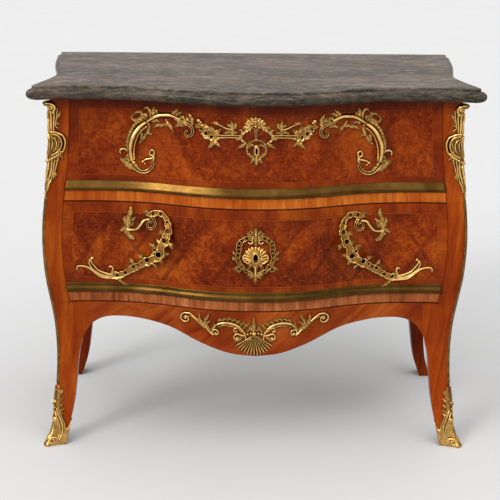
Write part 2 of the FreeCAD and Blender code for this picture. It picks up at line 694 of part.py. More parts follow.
def upper_pull():
    """Right-hand pull of the upper drawer: a C-scroll with a hooked foot."""
    centre = (UPPER_PULL_X, UPPER_PULL_Z)
    off = PULL_STAND_OFF
    bow = scroll(centre, [
        (-81, 32, 4, 5, 0), (-71, 43, 5, 5, 0), (-58, 62, 6, 5, 0), (-39, 65, 6, 6, 0),
        (-22, 68, 6, 6, 0.1 * off), (0, 62, 6, 7, 0.45 * off), (31, 42, 7, 8, off),
        (52, 11, 7, 8, off), (57, -27, 7, 8, 0.6 * off), (46, -59, 8, 7, 0.1 * off),
        (28, -66, 6, 6, 0), (12, -56, 4, 5, 0), (8, -40, 4, 5, 0), (16, -35, 3, 4, 0)], 2)
    hook = scroll(centre, [(29, -41, 3, 4, 0), (16, -35, 4, 5, 0), (4, -29, 4, 5, 0), (4, -18, 4, 5, 0),
                           (13, -18, 2, 4, 0)])
    shell = scroll(centre, [(50, -66, 6, 5, 0), (67, -58, 7, 5, 0), (80, -42, 5, 4, 0)])
    curl = scroll(centre, [(60, -28, 4, 5, 0.3 * off), (72, -18, 3, 5, 0), (83, -21, 2, 4, 0)])
    crest = scroll(centre, [(14, 54, 6, 5, 0.7 * off), (34, 60, 6, 5, 0.2 * off), (50, 62, 4, 4, 0),
                            (40, 73, 3, 4, 0), (24, 80, 2, 3, 0)])
    return joined([bow, hook, shell, curl, crest])


def garland():
    """Right-hand leafy garland between the upper cartouche and a pull."""
    centre = (0, UPPER_PULL_Z)
    stem = scroll(centre, [(32, 28, 5, 4, 0), (49, 28, 5, 4, 0), (67, 28, 5, 4, 0), (88, 34, 5, 4, 0),
                           (104, 35, 6, 5, 0), (118, 41, 6, 5, 0), (131, 50, 6, 5, 0),
                           (134, 63, 4, 4, 0)])
    leaf = scroll(centre, [(104, 33, 5, 4, 0), (94, 20, 5, 5, 0), (98, 8, 5, 4, 0), (110, 1, 2, 3, 0)])
    tendril = scroll(centre, [(84, 36, 3, 4, 0), (84, 50, 3, 4, 0), (100, 56, 2, 3, 0)])
    return joined([stem, leaf, tendril])


def plate(outline, centre_z, thickness):
    """A flat casting seated on the middle of the front; outline points are right, up."""
    y = min(front_y(u, centre_z + v) for u, v in outline)
    y = min(y, front_y(0, centre_z)) - SEAT
    face = closed([V(u, y, centre_z + v) for u, v in outline])
    return face.extrude(V(0, -thickness, 0)), y


def cartouche(centre_z, outline, windows, thickness):
    """Pierced plate with a domed middle and a keyhole."""
    body, y = plate(outline, centre_z, thickness)
    for u, v, radius in windows:
        body = body.cut(rod(u, centre_z + v, radius, 6, y - 2 * thickness, y + thickness))
    rings = []
    for share, out in ((1.0, 0.5), (0.8, 1.6), (0.35, 2.4)):
        rings.append([V(17 * share * math.cos(math.pi * k / 5), y - thickness * out,
                        centre_z + 20 * share * math.sin(math.pi * k / 5)) for k in range(10)])
    return body.fuse(facets(rings)).cut(keyhole(centre_z, y - 4 * thickness, y + thickness))


def both_sides(right):
    """A closed outline that is the same on both sides, from its right half, top to bottom."""
    return right + [(-u, v) for u, v in right[::-1] if u > 0]


def upper_cartouche():
    right = [(4, 79), (18, 62), (26, 54), (18, 40), (30, 34), (24, 22), (36, 10), (30, 0), (24, -10),
             (13, -17), (12, -30), (3, -33)]
    windows = [(12, 28, 5), (-12, 28, 5), (15, -12, 4), (-15, -12, 4)]
    return cartouche(UPPER_CARTOUCHE_Z, both_sides(right), windows, CARTOUCHE_THICKNESS)


def lower_cartouche():
    right = [(3, 64), (14, 58), (16, 50), (34, 47), (43, 36), (45, 20), (44, 6), (49, -2), (45, -14),
             (38, -26), (36, -34), (20, -40), (13, -50), (3, -60)]
    windows = [(19, 42, 3), (28, 38, 3), (35, 30, 3.2), (38, 19, 3), (36, 8, 3), (27, -12, 6),
               (16, -27, 5)]
    windows += [(-u, v, r) for u, v, r in windows]
    return cartouche(LOWER_CARTOUCHE_Z, both_sides(right), windows, CARTOUCHE_THICKNESS)


def fan_shell(centre, radius, ribs):
    """A scallop shell hanging from its hub, its ribs standing out."""
    hub = V(centre[0], front_y(*centre) - SEAT - 9, centre[1])
    hub_back = V(centre[0], front_y(*centre) - 3 * SEAT, centre[1])
    top, rim, back = [], [], []
    for k in range(2 * ribs + 1):
        angle = math.radians(200 + 140 * k / (2 * ribs))
        ridge = k % 2
        reach = radius * (1.0 if ridge else 0.9)
        for share, out, row in ((0.55, 10 if ridge else 7, top), (1.0, 5 if ridge else 3, rim),
                                (1.0, 0, back)):
            x = centre[0] + reach * share * math.cos(angle)
            z = centre[1] + reach * share * math.sin(angle)
            row.append(V(x, front_y(x, z) - SEAT - out, z))
    faces = []
    for k in range(2 * ribs):
        faces.append(closed([hub, top[k], top[k + 1]]))
        faces.append(closed([top[k], rim[k], rim[k + 1]]))
        faces.append(closed([top[k], rim[k + 1], top[k + 1]]))
        faces.append(closed([rim[k], back[k], back[k + 1]]))
        faces.append(closed([rim[k], back[k + 1], rim[k + 1]]))
        faces.append(closed([hub_back, back[k + 1], back[k]]))
    for k in (0, 2 * ribs):
        faces.append(closed([hub, top[k], hub_back]))
        faces.append(closed([top[k], back[k], hub_back]))
        faces.append(closed([top[k], rim[k], back[k]]))
    solid = Part.Solid(Part.Shell(faces))
    return solid if solid.Volume > 0 else Part.Solid(solid.Shells[0].reversed())


def apron_shell_mount():
    """Scallop shell with a C-scroll and a leafy S-scroll on each side."""
    hub = (0, APRON_CLEARANCE + SHELL_RISE)
    solids = [fan_shell(hub, SHELL_RADIUS, 7)]
    arc = scroll(hub, [(4, -6, 6, 6, 0), (23, 8, 5, 6, 0), (40, 24, 5, 6, 0), (60, 30, 5, 6, 0),
                       (80, 28, 5, 6, 0), (96, 12, 4, 5, 0), (92, -3, 3, 4, 0)], 2)
    tail = scroll(hub, [(96, 10, 4, 5, 0), (117, 16, 6, 6, 0), (134, 32, 7, 6, 0), (152, 38, 5, 5, 0),
                        (164, 46, 4, 5, 0), (174, 34, 3, 4, 0), (166, 28, 2, 4, 0)])
    bud = scroll(hub, [(0, -4, 6, 8, 0), (0, 20, 5, 7, 0), (0, 41, 2, 4, 0)], 1)
    solids += [arc, mirrored(arc), tail, mirrored(tail), bud]
    return joined(solids)


def wrapped(rows):
    """A casting that wraps the right front corner, with a ring at each row and at each band's end.
    A row has its height, the width on each face and the thickness."""
    levels = [CASE_TOP * band / BANDS for band in range(BANDS + 1)]
    heights = [row[0] for row in rows] + [z for z in levels if rows[0][0] < z < rows[-1][0]]
    rings = []
    for z in sorted(heights):
        width, thick = smooth(rows, z), smooth(rows, z, 2)
        x = corner_x(z)
        near_x, near_y = x - CORNER_FLAT, front_y(x - CORNER_FLAT, z)
        far_y = -(end_y(z) + CORNER_SWEEP - CORNER_FLAT)
        front_x = near_x - width
        side_y = far_y + width
        edge = min(thick, 1.5)
        rings.append([
            V(front_x, front_y(front_x, z) - SEAT, z), V(near_x, near_y - SEAT, z),
            V(x + SEAT, far_y, z), V(side_x(side_y, z) + SEAT, side_y, z),
            V(side_x(side_y, z) + edge, side_y, z),
            V(side_x(far_y + width / 2, z) + thick, far_y + width / 2, z),
            V(x + 0.7 * thick, far_y - CORNER_FLAT - 0.3 * thick, z),
            V(near_x - width / 2, front_y(near_x - width / 2, z) - thick, z),
            V(front_x, front_y(front_x, z) - edge, z)])
    return facets(rings, True)


def corner_mount():
    top = CASE_TOP - CORNER_MOUNT_DROP
    return wrapped([(top - CORNER_MOUNT_HEIGHT, 1.5, 3), (top - 198, 5, 5), (top - 182, 12, 6),
                    (top - 152, 12, 6), (top - 130, 20, 7), (top - 106, 30, 9), (top - 84, 24, 7),
                    (top - 66, 12, 5), (top - 30, 16, 9), (top - 14, 14, 14), (top, 10, 8)])


def corner_strip():
    top = CASE_TOP - CORNER_MOUNT_DROP - CORNER_MOUNT_HEIGHT - STRIP_TOP_GAP
    return wrapped([(z, STRIP_WIDTH / 2, STRIP_THICKNESS) for z in (LEAF_TOP + STRIP_FOOT_GAP, top)])


def shoe_ring(z, wall, toe):
    """Plan of the foot at a height, a wall's thickness outside the wood, with a toe at the corner."""
    x = corner_x(z)
    y = -(end_y(z) + CORNER_SWEEP)
    left = front_leg_x(max(z, 0) / APRON_CLEARANCE) - wall
    rear = leg_back_y(max(z, 0)) + wall
    near = x - 2 * CORNER_FLAT
    ring = [V(left, rear, z), V(left, front_y(left, z) - wall, z), V(near, front_y(near, z) - wall, z),
            V(x - CORNER_FLAT + toe, y - toe, z), V(x + toe, y + CORNER_FLAT - toe, z)]
    for share in (0.3, 0.6, 1.0):
        side_y = y + CORNER_FLAT + (rear - y - CORNER_FLAT) * share
        ring.append(V(side_x(side_y, z) + wall, side_y, z))
    return ring


def sabot():
    """Shoe round the foot with a toe and a leaf that climbs the corner."""
    heights = (0, SHOE_HEIGHT / 3, SHOE_HEIGHT)
    outer = facets([shoe_ring(z, SHOE_THICKNESS, toe) for z, toe in zip(heights, (7, 4, 3))])
    inner = facets([shoe_ring(z, SHOE_SEAT, SHOE_SEAT) for z in (-1, *heights[1:2], SHOE_HEIGHT + 1)])
    leaf = wrapped([(SHOE_HEIGHT - 14, 10, 2), (SHOE_HEIGHT + 6, 12, 5), (60, 10, 5), (82, 7, 4),
                    (96, 11, 5), (112, 8, 4), (128, 9, 4), (LEAF_TOP, 2, 2)])
    return outer.fuse(leaf).cut(inner)


def pull_studs(places):
    """Threaded studs under the feet of the pulls, with their nuts inside the drawer."""
    pieces = []
    for x, z in places:
        front = front_y(x, z) + STUD_HOLE_GAP
        inner = max(-(INNER_END_Y + serpentine(x + side * NUT_RADIUS)) for side in (-1, 1))
        stud = rod(x, z, STUD_RADIUS, 6, front, inner + 2 * NUT_THICKNESS)
        nut = rod(x, z, NUT_RADIUS, 6, inner, inner + NUT_THICKNESS)
        piece = stud.fuse(nut)
        pieces += [piece, mirrored(piece)]
    return Part.makeCompound(pieces)


# ---- the whole chest -----------------------------------------------------------------------------

UPPER_STUDS = ((UPPER_PULL_X - 39, UPPER_PULL_Z + 65), (UPPER_PULL_X + 28, UPPER_PULL_Z - 66))
LOWER_STUDS = ((LOWER_PULL_X - 78, LOWER_PULL_Z + 86), (LOWER_PULL_X + 44, LOWER_PULL_Z - 75))


def drawer_parts(form, name, front, box_z, keyhole_z, studs):
    """All pieces of one drawer by node name."""
    z0, z1 = front
    low, high = box_z
    side = drawer_side(low, high)
    mould_z = z0 + BAND_HEIGHT
    return {
        name + "_drawer_front": drawer_front(form, z0, z1, keyhole_z, studs),
        name + "_drawer_moulding": moulding(form, mould_z, mould_z + MOULDING_HEIGHT),
        name + "_drawer_right_side": side,
        name + "_drawer_left_side": mirrored(side),
        name + "_drawer_back": drawer_back(low, high),
        name + "_drawer_bottom": drawer_bottom(low),
        name + "_lock_case": lock_case(keyhole_z, high),
        name + "_lock_bolt": lock_bolt(high),
        name + "_pull_studs": pull_studs(studs),
    }


def carcass_parts(form):
    bottom_rail = front_rail(BOTTOM_RAIL_BOTTOM, BOTTOM_RAIL_TOP)
    post = front_post(form).cut(bottom_rail)
    rear = rear_post(form)
    side = side_panel(form)
    upper_runner = runner(DIVIDER_BOTTOM, DIVIDER_TOP)
    lower_runner = runner(BOTTOM_RAIL_BOTTOM, BOTTOM_RAIL_TOP)
    kicker = runner(TOP_RAIL_BOTTOM, CASE_TOP)
    mount = corner_mount()
    strip = corner_strip()
    shoe = sabot()
    pairs = {"front_{}_post": post, "rear_{}_post": rear, "{}_side_panel": side,
             "upper_{}_runner": upper_runner, "lower_{}_runner": lower_runner, "{}_kicker": kicker,
             "{}_corner_mount": mount, "{}_corner_strip": strip, "{}_sabot": shoe}
    parts = {}
    for name, shape in pairs.items():
        parts[name.format("right")] = shape
        parts[name.format("left")] = mirrored(shape)
    parts["marble_top"] = marble_top()
    parts["front_apron"] = front_apron(form)
    parts["apron_shell_mount"] = apron_shell_mount()
    parts["top_front_rail"] = front_rail(TOP_RAIL_BOTTOM, CASE_TOP).cut(bolt_mortise(TOP_RAIL_BOTTOM))
    divider = front_rail(DIVIDER_BOTTOM, DIVIDER_TOP)
    parts["divider_front_rail"] = divider.cut(bolt_mortise(DIVIDER_BOTTOM))
    parts["bottom_front_rail"] = bottom_rail
    parts["top_rear_rail"] = rear_rail(TOP_RAIL_BOTTOM, CASE_TOP)
    parts["divider_rear_rail"] = rear_rail(DIVIDER_BOTTOM, DIVIDER_TOP)
    parts["bottom_rear_rail"] = rear_rail(BOTTOM_RAIL_BOTTOM, BOTTOM_RAIL_TOP)
    parts["dust_panel"] = dust_panel(DIVIDER_TOP)
    parts["bottom_panel"] = dust_panel(BOTTOM_RAIL_TOP)
    parts["back_panel"] = back_panel()
    parts["rear_stops"] = rear_stops()
    parts["glue_blocks"] = glue_blocks()
    return parts


def mount_parts():
    pairs = {"upper_{}_pull": upper_pull(), "lower_{}_pull": lower_pull(), "{}_garland": garland()}
    parts = {}
    for name, shape in pairs.items():
        parts[name.format("right")] = shape
        parts[name.format("left")] = mirrored(shape)
    parts["upper_cartouche"] = upper_cartouche()
    parts["lower_cartouche"] = lower_cartouche()
    return parts


def main():
    os.makedirs(PARTS, exist_ok=True)
    form = case_form()
    parts = carcass_parts(form)
    parts.update(drawer_parts(form, "upper", (UPPER_FRONT_BOTTOM, UPPER_FRONT_TOP),
                              (DIVIDER_TOP, TOP_RAIL_BOTTOM - TOP_RUNNING_GAP), UPPER_CARTOUCHE_Z,
                              UPPER_STUDS))
    parts.update(drawer_parts(form, "lower", (LOWER_FRONT_BOTTOM, LOWER_FRONT_TOP),
                              (BOTTOM_RAIL_TOP, DIVIDER_BOTTOM - TOP_RUNNING_GAP), LOWER_CARTOUCHE_Z,
                              LOWER_STUDS))
    parts.update(mount_parts())
    for name, shape in parts.items():
        shape.exportStep(os.path.join(PARTS, name + ".step"))
        solids = len(shape.Solids)
        print(name, solids, "solids", len(shape.Faces), "faces", round(shape.Volume), "mm3",
              "" if shape.isValid() else "NOT VALID")
    print(len(parts), "parts")


main()
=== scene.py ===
# %% [markdown]
# # A commode chest with a marble top
# This lesson dresses a chest of drawers in the rococo manner. Its carcass swells in two directions:
# in plan the front is serpentine, and in height it is bombe. The joints, sizes and hidden joinery
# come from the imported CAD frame. Here we build the surfaces that are seen: polished veneers, a
# moulded marble slab, brass mouldings and cast, chased and gilt mounts.

import json
import math

import bmesh
import bpy
import numpy as np
from mathutils import Matrix, Vector


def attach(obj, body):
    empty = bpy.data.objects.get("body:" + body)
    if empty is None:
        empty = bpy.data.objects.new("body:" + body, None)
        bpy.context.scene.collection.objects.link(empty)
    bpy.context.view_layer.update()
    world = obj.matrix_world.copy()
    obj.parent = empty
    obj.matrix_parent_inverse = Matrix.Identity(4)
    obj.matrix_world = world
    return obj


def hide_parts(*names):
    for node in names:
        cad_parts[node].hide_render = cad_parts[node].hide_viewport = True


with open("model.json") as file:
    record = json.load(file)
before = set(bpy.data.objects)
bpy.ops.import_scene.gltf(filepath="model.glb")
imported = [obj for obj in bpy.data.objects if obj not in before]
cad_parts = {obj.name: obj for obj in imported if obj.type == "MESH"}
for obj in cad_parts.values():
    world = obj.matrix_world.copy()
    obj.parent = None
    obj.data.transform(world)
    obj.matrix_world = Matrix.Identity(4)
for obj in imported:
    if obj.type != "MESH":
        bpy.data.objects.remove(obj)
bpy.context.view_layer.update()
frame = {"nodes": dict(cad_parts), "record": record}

# %% [markdown]
# ## The form of the chest
# Every veneered surface lies on one form, so the form comes first, as a few functions. A cabinet
# maker draws it as two templates: the swell of the corner (seen from the front and from the side)
# and the serpentine line of the front (seen from above). Lengths are in metres.

# %% Driving dimensions
MM = 0.001
CASE_TOP = 0.847
CASE_HALF = 0.474
CASE_END_Y = 0.163
CASE_BACK = 0.271
INNER_END_Y = 0.141
SERPENTINE_DEPTH = 0.072
SERPENTINE_HALF = 0.370
SERPENTINE_RADIUS = (SERPENTINE_HALF**2 + SERPENTINE_DEPTH**2) / (4 * SERPENTINE_DEPTH)
CORNER_SWEEP = 0.013
SWEEP_WIDTH = 0.080
CORNER_FLAT = 0.007
CASE_WAIST = 0.032
POST_WIDTH = 0.044
POST_BACK_Y = -0.129
REAR_POST_Y = 0.226
KNEE_X = 0.405
SIDE_INNER_X = 0.418
APRON_CLEARANCE = 0.242
APRON_TOP = 0.353
LOWER_FRONT = (0.355, 0.603)
UPPER_FRONT = (0.605, 0.845)
BAND_HEIGHT = 0.025
MOULDING_HEIGHT = 0.024
DRAWER_GAP = 0.001
FOOT_DEPTH = 0.044
SLAB = 0.033
SOFT_EDGE = 0.0008

# the swell: share of the height, how far the corner stands out to the side and to the front, in mm
SWELL = np.array((
    (0.00, 29.0, 50.0), (0.06, 14.0, 32.0), (0.14, 6.5, 17.0), (0.26, 1.0, 6.0), (0.355, 4.5, 3.5),
    (0.42, 12.0, 8.0), (0.50, 21.5, 16.0), (0.59, 25.0, 20.0), (0.66, 22.8, 18.5),
    (0.72, 17.5, 15.0), (0.80, 9.5, 7.5), (0.90, 3.0, 2.5), (1.00, 0.0, 0.0),
)) * (1, MM, MM)
# the hollow of the sides in plan, as the poles of a Bezier curve
WAIST = (0.0, 0.6, 2.25, 0.1, 0.5, 0.25)
# share of the leg's height and its width; share of the knee's height and how far the back has come
FRONT_LEG = np.array(
    ((0.0, 44), (0.19, 41), (0.45, 46), (0.70, 48), (0.89, 51), (1.04, 60))) * (1, MM)
LEG_BACK = np.array(((0.0, 0.0), (0.4, 0.62), (1.0, 1.0)))
# share of the way across, and height over the lowest place
APRON_EDGE = np.array((
    (0.0, 0.0), (0.15, 6.0), (0.31, 26.5), (0.49, 57.0), (0.67, 71.5), (0.80, 75.0), (0.89, 71.0),
    (0.96, 56.0), (1.0, 35.0),
)) * (1, MM)
SIDE_EDGE = np.array(
    ((0.0, 0), (0.14, 24), (0.34, 18), (0.5, 6), (0.66, 18), (0.86, 24), (1.0, 0))) * (1, MM)
print("case:", CASE_TOP, "m high,", 2 * CASE_HALF, "m wide at its top")
print("drawer fronts from", LOWER_FRONT, "to", UPPER_FRONT)


# %% Curves and the form itself
def smooth(rows, t, column=1):
    """Values at t on a smooth curve through the rows; t may be an array."""
    t = np.clip(np.asarray(t, float), rows[0][0], rows[-1][0])
    x, y = rows[:, 0], rows[:, column]
    slope = np.empty(len(x))
    slope[1:-1] = (y[2:] - y[:-2]) / (x[2:] - x[:-2])
    slope[0], slope[-1] = (y[1] - y[0]) / (x[1] - x[0]), (y[-1] - y[-2]) / (x[-1] - x[-2])
    i = np.clip(np.searchsorted(x, t, "right") - 1, 0, len(x) - 2)
    span = x[i + 1] - x[i]
    s = (t - x[i]) / span
    return ((2 * s**3 - 3 * s**2 + 1) * y[i] + (s**3 - 2 * s**2 + s) * span * slope[i]
            + (3 * s**2 - 2 * s**3) * y[i + 1] + (s**3 - s**2) * span * slope[i + 1])


def corner_x(z):
    return CASE_HALF + smooth(SWELL, np.asarray(z) / CASE_TOP, 1)


def end_y(z):
    return CASE_END_Y + smooth(SWELL, np.asarray(z) / CASE_TOP, 2)


def serpentine(x):
    x, r = np.minimum(np.abs(x), SERPENTINE_HALF), SERPENTINE_RADIUS
    middle = SERPENTINE_DEPTH - (r - np.sqrt(r * r - x * x))
    outer = r - np.sqrt(r * r - (SERPENTINE_HALF - x) ** 2)
    return np.where(x <= SERPENTINE_HALF / 2, middle, outer)


def sweep(x, corner):
    return CORNER_SWEEP * (np.maximum(np.abs(x) - (corner - SWEEP_WIDTH), 0) / SWEEP_WIDTH) ** 2


def front_y(x, z):
    """The veneered front face at a place seen from the front."""
    return -(end_y(z) + serpentine(x) + sweep(x, corner_x(z)))


def waist(t):
    n = len(WAIST) - 1
    return sum(math.comb(n, i) * t**i * (1 - t) ** (n - i) * pole for i, pole in enumerate(WAIST))


def side_x(y, z):
    """The veneered right side at a place seen from the side."""
    corner_y = -(end_y(z) + CORNER_SWEEP - CORNER_FLAT)
    return corner_x(z) - CASE_WAIST * waist(np.clip((y - corner_y) / (CASE_BACK - corner_y), 0, 1))


def apron_z(x):
    return APRON_CLEARANCE + smooth(APRON_EDGE, np.abs(x) / KNEE_X)


print("front at the middle:", round(float(front_y(0, 0.5)), 4),
      "at the ends:", round(float(front_y(0.4, 0.5)), 4))

# %% [markdown]
# ## Helpers for meshes
# Most pieces are a grid of points in rows and columns. A board is two such grids, front and back,
# joined round their rim. Plain mesh code suits this better than modifiers, because each vertex can
# also carry what its veneer needs to know, such as how far it is from the end of its panel.


# %% Grids, boards and tubes
def new_piece(name, points, faces, attributes=None, bevel=0.0):
    """A mesh object at the origin, with smooth faces and optional values on its points."""
    mesh = bpy.data.meshes.new(name)
    mesh.from_pydata([tuple(p) for p in points], [], [tuple(int(i) for i in f) for f in faces])
    for key, values in (attributes or {}).items():
        values = np.asarray(values, np.float32)
        kind = "FLOAT" if values.ndim == 1 else "FLOAT_VECTOR"
        layer = mesh.attributes.new(key, kind, "POINT")
        layer.data.foreach_set("value" if values.ndim == 1 else "vector", values.ravel())
    tidy = bmesh.new()
    tidy.from_mesh(mesh)
    bmesh.ops.remove_doubles(tidy, verts=tidy.verts, dist=1e-6)
    bmesh.ops.recalc_face_normals(tidy, faces=tidy.faces)
    tidy.to_mesh(mesh)
    tidy.free()
    mesh.shade_smooth()
    piece = bpy.data.objects.new(name, mesh)
    bpy.context.scene.collection.objects.link(piece)
    if bevel:
        rounding = piece.modifiers.new("soft edges", "BEVEL")
        rounding.width = bevel
        rounding.segments = 2
        rounding.limit_method = "ANGLE"
        rounding.angle_limit = math.radians(38)
    return piece


def grid_faces(rows, columns, start=0, closed=False):
    """Quads over points that are laid out in rows."""
    faces = []
    for i in range(rows - 1):
        for j in range(columns - (0 if closed else 1)):
            k = (j + 1) % columns
            a, b = start + i * columns, start + (i + 1) * columns
            faces.append((a + j, a + k, b + k, b + j))
    return faces


def board(name, front, back, attributes=None):
    """A piece between a front and a back grid of the same size."""
    rows, columns = front.shape[:2]
    count = rows * columns
    faces = grid_faces(rows, columns) + [f[::-1] for f in grid_faces(rows, columns, count)]
    rim = list(range(columns)) + [i * columns + columns - 1 for i in range(1, rows)]
    rim += [(rows - 1) * columns + j for j in range(columns - 2, -1, -1)]
    rim += [i * columns for i in range(rows - 2, 0, -1)]
    for a, b in zip(rim, rim[1:] + rim[:1]):
        faces.append((a, count + a, count + b, b))
    points = np.concatenate([front.reshape(-1, 3), back.reshape(-1, 3)])
    doubled = {k: np.concatenate([v, v]) for k, v in (attributes or {}).items()}
    return new_piece(name, points, faces, doubled, SOFT_EDGE)


def tube(name, rings, bevel=0.0):
    """A skin through rings of points, closed at both ends."""
    count, width = rings.shape[:2]
    faces = grid_faces(count, width, closed=True)
    faces += [tuple(range(width)), tuple(range((count - 1) * width, count * width))]
    return new_piece(name, rings.reshape(-1, 3), faces, bevel=bevel)


def flipped(points):
    return points * np.array((-1.0, 1.0, 1.0))


def place(piece, body, slot, *nodes):
    """Hand a finished piece to the frame: its body, and the CAD nodes it stands for, which are
    hidden. The slot is not used.
    """
    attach(piece, body)
    if nodes:
        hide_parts(*nodes)
    return piece


print("helpers ready")

# %% [markdown]
# ## Helpers for materials
# All finishes are node trees. A tiny wrapper keeps them readable: each call adds one node, sets its
# properties and inputs, and returns it, so a tree reads from top to bottom like a recipe.


# %% A small language for node trees
def linear(r, g, b):
    """A colour written as on screen (0 to 255) in the linear values that shaders use."""
    low = [c / 255 / 12.92 for c in (r, g, b)]
    high = [((c / 255 + 0.055) / 1.055) ** 2.4 for c in (r, g, b)]
    return tuple(low[i] if c <= 10 else high[i] for i, c in enumerate((r, g, b))) + (1.0,)


class Finish:
    """One material: its tree, its surface shader, and short names for common nodes."""

    def __init__(self, name, **surface):
        self.material = bpy.data.materials.new(name)
        self.material.use_nodes = True
        self.tree = self.material.node_tree
        self.shader = self.tree.nodes["Principled BSDF"]
        for key, value in surface.items():
            self.shader.inputs[key.replace("_", " ")].default_value = value
        self.place = self.node("TexCoord").outputs["Object"]

    def node(self, kind, inputs=None, **settings):
        made = self.tree.nodes.new("ShaderNode" + kind)
        for key, value in settings.items():
            setattr(made, key, value)
        for key, value in (inputs or {}).items():
            if isinstance(value, bpy.types.NodeSocket):
                self.tree.links.new(value, made.inputs[key])
            else:
                made.inputs[key].default_value = value
        return made

    def calc(self, operation, a, b=0.0):
        return self.node("Math", {0: a, 1: b}, operation=operation).outputs[0]

    def attribute(self, name):
        return self.node("Attribute", attribute_name=name)

    def parts(self, vector):
        return self.node("SeparateXYZ", {0: vector}).outputs

    def joined(self, x, y, z):
        return self.node("CombineXYZ", {0: x, 1: y, 2: z}).outputs[0]

    def turned(self, vector, angles=(0, 0, 0), scale=(1, 1, 1)):
        made = self.node("Mapping", {"Vector": vector, "Rotation": angles, "Scale": scale})
        return made.outputs[0]

    def noise(self, vector, scale, detail=4.0, rough=0.55, warp=0.0):
        made = self.node("TexNoise", {"Vector": vector, "Scale": scale, "Detail": detail,
                                      "Roughness": rough, "Distortion": warp})
        return made.outputs[0]

    def ramp(self, value, *stops):
        """Colours at places from 0 to 1."""
        made = self.node("ValToRGB", {0: value})
        band = made.color_ramp
        for i, (at, colour) in enumerate(stops):
            stop = band.elements[i] if i < 2 else band.elements.new(at)
            stop.position = at
            stop.color = colour
        return made.outputs[0]

    def fade(self, value, low, high, out_low=0.0, out_high=1.0):
        return self.node("MapRange", {0: value, 1: low, 2: high, 3: out_low, 4: out_high},
                         interpolation_type="SMOOTHSTEP").outputs[0]

    def blend(self, share, a, b):
        return self.node("Mix", {0: share, 6: a, 7: b}, data_type="RGBA").outputs[2]

    def bump(self, height, depth, normal=None):
        made = self.node("Bump", {"Height": height, "Distance": depth, "Strength": 1.0})
        if normal is not None:
            self.tree.links.new(normal, made.inputs["Normal"])
        return made.outputs[0]

    def set(self, **sockets):
        for key, value in sockets.items():
            self.tree.links.new(value, self.shader.inputs[key.replace("_", " ")])
        return self.material


print("finish helper ready")

# %% [markdown]
# ## Veneers
# The show wood is a warm red-brown veneer, French-polished. On the drawers it is quartered: burr
# lozenges in a trellis of darker bands, framed by a cross-banded border whose grain runs square to
# the edge. A strip of straight, lighter wood with upright grain runs below each brass moulding, and
# the posts, sides and apron carry plain veneer with slanting grain. One function builds the wood
# itself, with fine pores, long figure and cloudy colour; the layouts only choose between its kinds.

# %% Colours of the woods
DEEP = linear(56, 15, 2)
RED = linear(114, 35, 2)
WARM = linear(152, 60, 5)
ORANGE = linear(182, 88, 18)
PALE = linear(204, 116, 38)


def wood(f, grain_place, dark, middle, light, figure=26.0, pores=420.0):
    """Colour and height of straight-grained wood; the grain runs along X of grain_place."""
    long_figure = f.noise(f.turned(grain_place, scale=(0.10, 1.0, 1.0)), figure, 5.0, 0.6, 0.6)
    fine = f.noise(f.turned(grain_place, scale=(0.045, 1.0, 1.0)), pores, 3.0, 0.7)
    clouds = f.noise(grain_place, 7.0, 3.0, 0.5, 0.4)
    tone = f.calc("ADD", f.calc("MULTIPLY", long_figure, 0.58), f.calc("MULTIPLY", clouds, 0.42))
    colour = f.ramp(tone, (0.37, dark), (0.50, middle), (0.63, light))
    pore_mark = f.fade(fine, 0.34, 0.50, 1.0, 0.0)
    return f.blend(f.calc("MULTIPLY", pore_mark, 0.5), colour, dark), fine


def burr(f, base_place, dark, middle, light):
    """Colour of burr wood: tight swirls, eyes and mottle with no one direction."""
    swirl = f.noise(base_place, 46.0, 7.0, 0.72, 2.0)
    mottle = f.noise(base_place, 8.0, 3.0, 0.6, 1.0)
    tone = f.calc("ADD", f.calc("MULTIPLY", swirl, 0.5), f.calc("MULTIPLY", mottle, 0.5))
    colour = f.ramp(tone, (0.38, dark), (0.50, middle), (0.62, light))
    speckle = f.noise(base_place, 170.0, 4.0, 0.7, 0.6)
    colour = f.blend(f.fade(speckle, 0.53, 0.66, 0.0, 0.55), colour, light)
    return f.blend(f.fade(speckle, 0.34, 0.46, 0.65, 0.0), colour, dark)


def polish(f, colour, height, rough=0.20):
    """French polish over wood: thin, clear, with faint ripples and slightly uneven gloss."""
    ripple = f.noise(f.place, 22.0, 2.0, 0.5)
    gloss = f.fade(f.noise(f.place, 9.0, 3.0, 0.6), 0.35, 0.7, rough, rough + 0.12)
    surface = f.bump(height, 0.00012)
    return f.set(Base_Color=colour, Roughness=gloss, Normal=f.bump(ripple, 0.0005, surface))


POLISH = {"Coat_Weight": 0.03, "Coat_Roughness": 0.12, "Specular_IOR_Level": 0.08}
print("wood helpers ready")


# %% Plain veneer for posts, sides and apron
def plain_veneer(name, tilt, dark=RED, middle=WARM, light=ORANGE, streaks=0.5):
    """Veneer with its grain tilted from upright by an angle, in the X-Z plane of the face."""
    f = Finish(name, **POLISH)
    upright = f.turned(f.place, angles=(0, math.radians(90) - tilt, 0))
    colour, fine = wood(f, upright, dark, middle, light)
    streak = f.noise(f.turned(upright, scale=(0.06, 1.0, 1.0)), 60.0, 4.0, 0.6, 0.3)
    colour = f.blend(f.fade(streak, 0.52, 0.72, 0.0, streaks), colour, dark)
    return polish(f, colour, fine)


post_veneer = plain_veneer("post_veneer", 0.10)
apron_veneer = plain_veneer("apron_veneer", 0.9, RED, linear(150, 62, 14), linear(178, 90, 32))
side_veneer = plain_veneer("side_veneer", 0.0, linear(92, 26, 2), linear(122, 40, 3),
                           linear(150, 60, 6), 0.3)
print("plain veneers:", post_veneer.name, apron_veneer.name, side_veneer.name)


# %% [markdown]
# The marquetry has to know where it is on its panel, so it reads two attributes of the mesh: the
# place in the field, and the distance to the ends and the lower edge. From them it draws the
# lozenges, the border with its strings and the strip at the foot. A random tone for each lozenge
# makes neighbours differ, as sawn leaves of burr do.

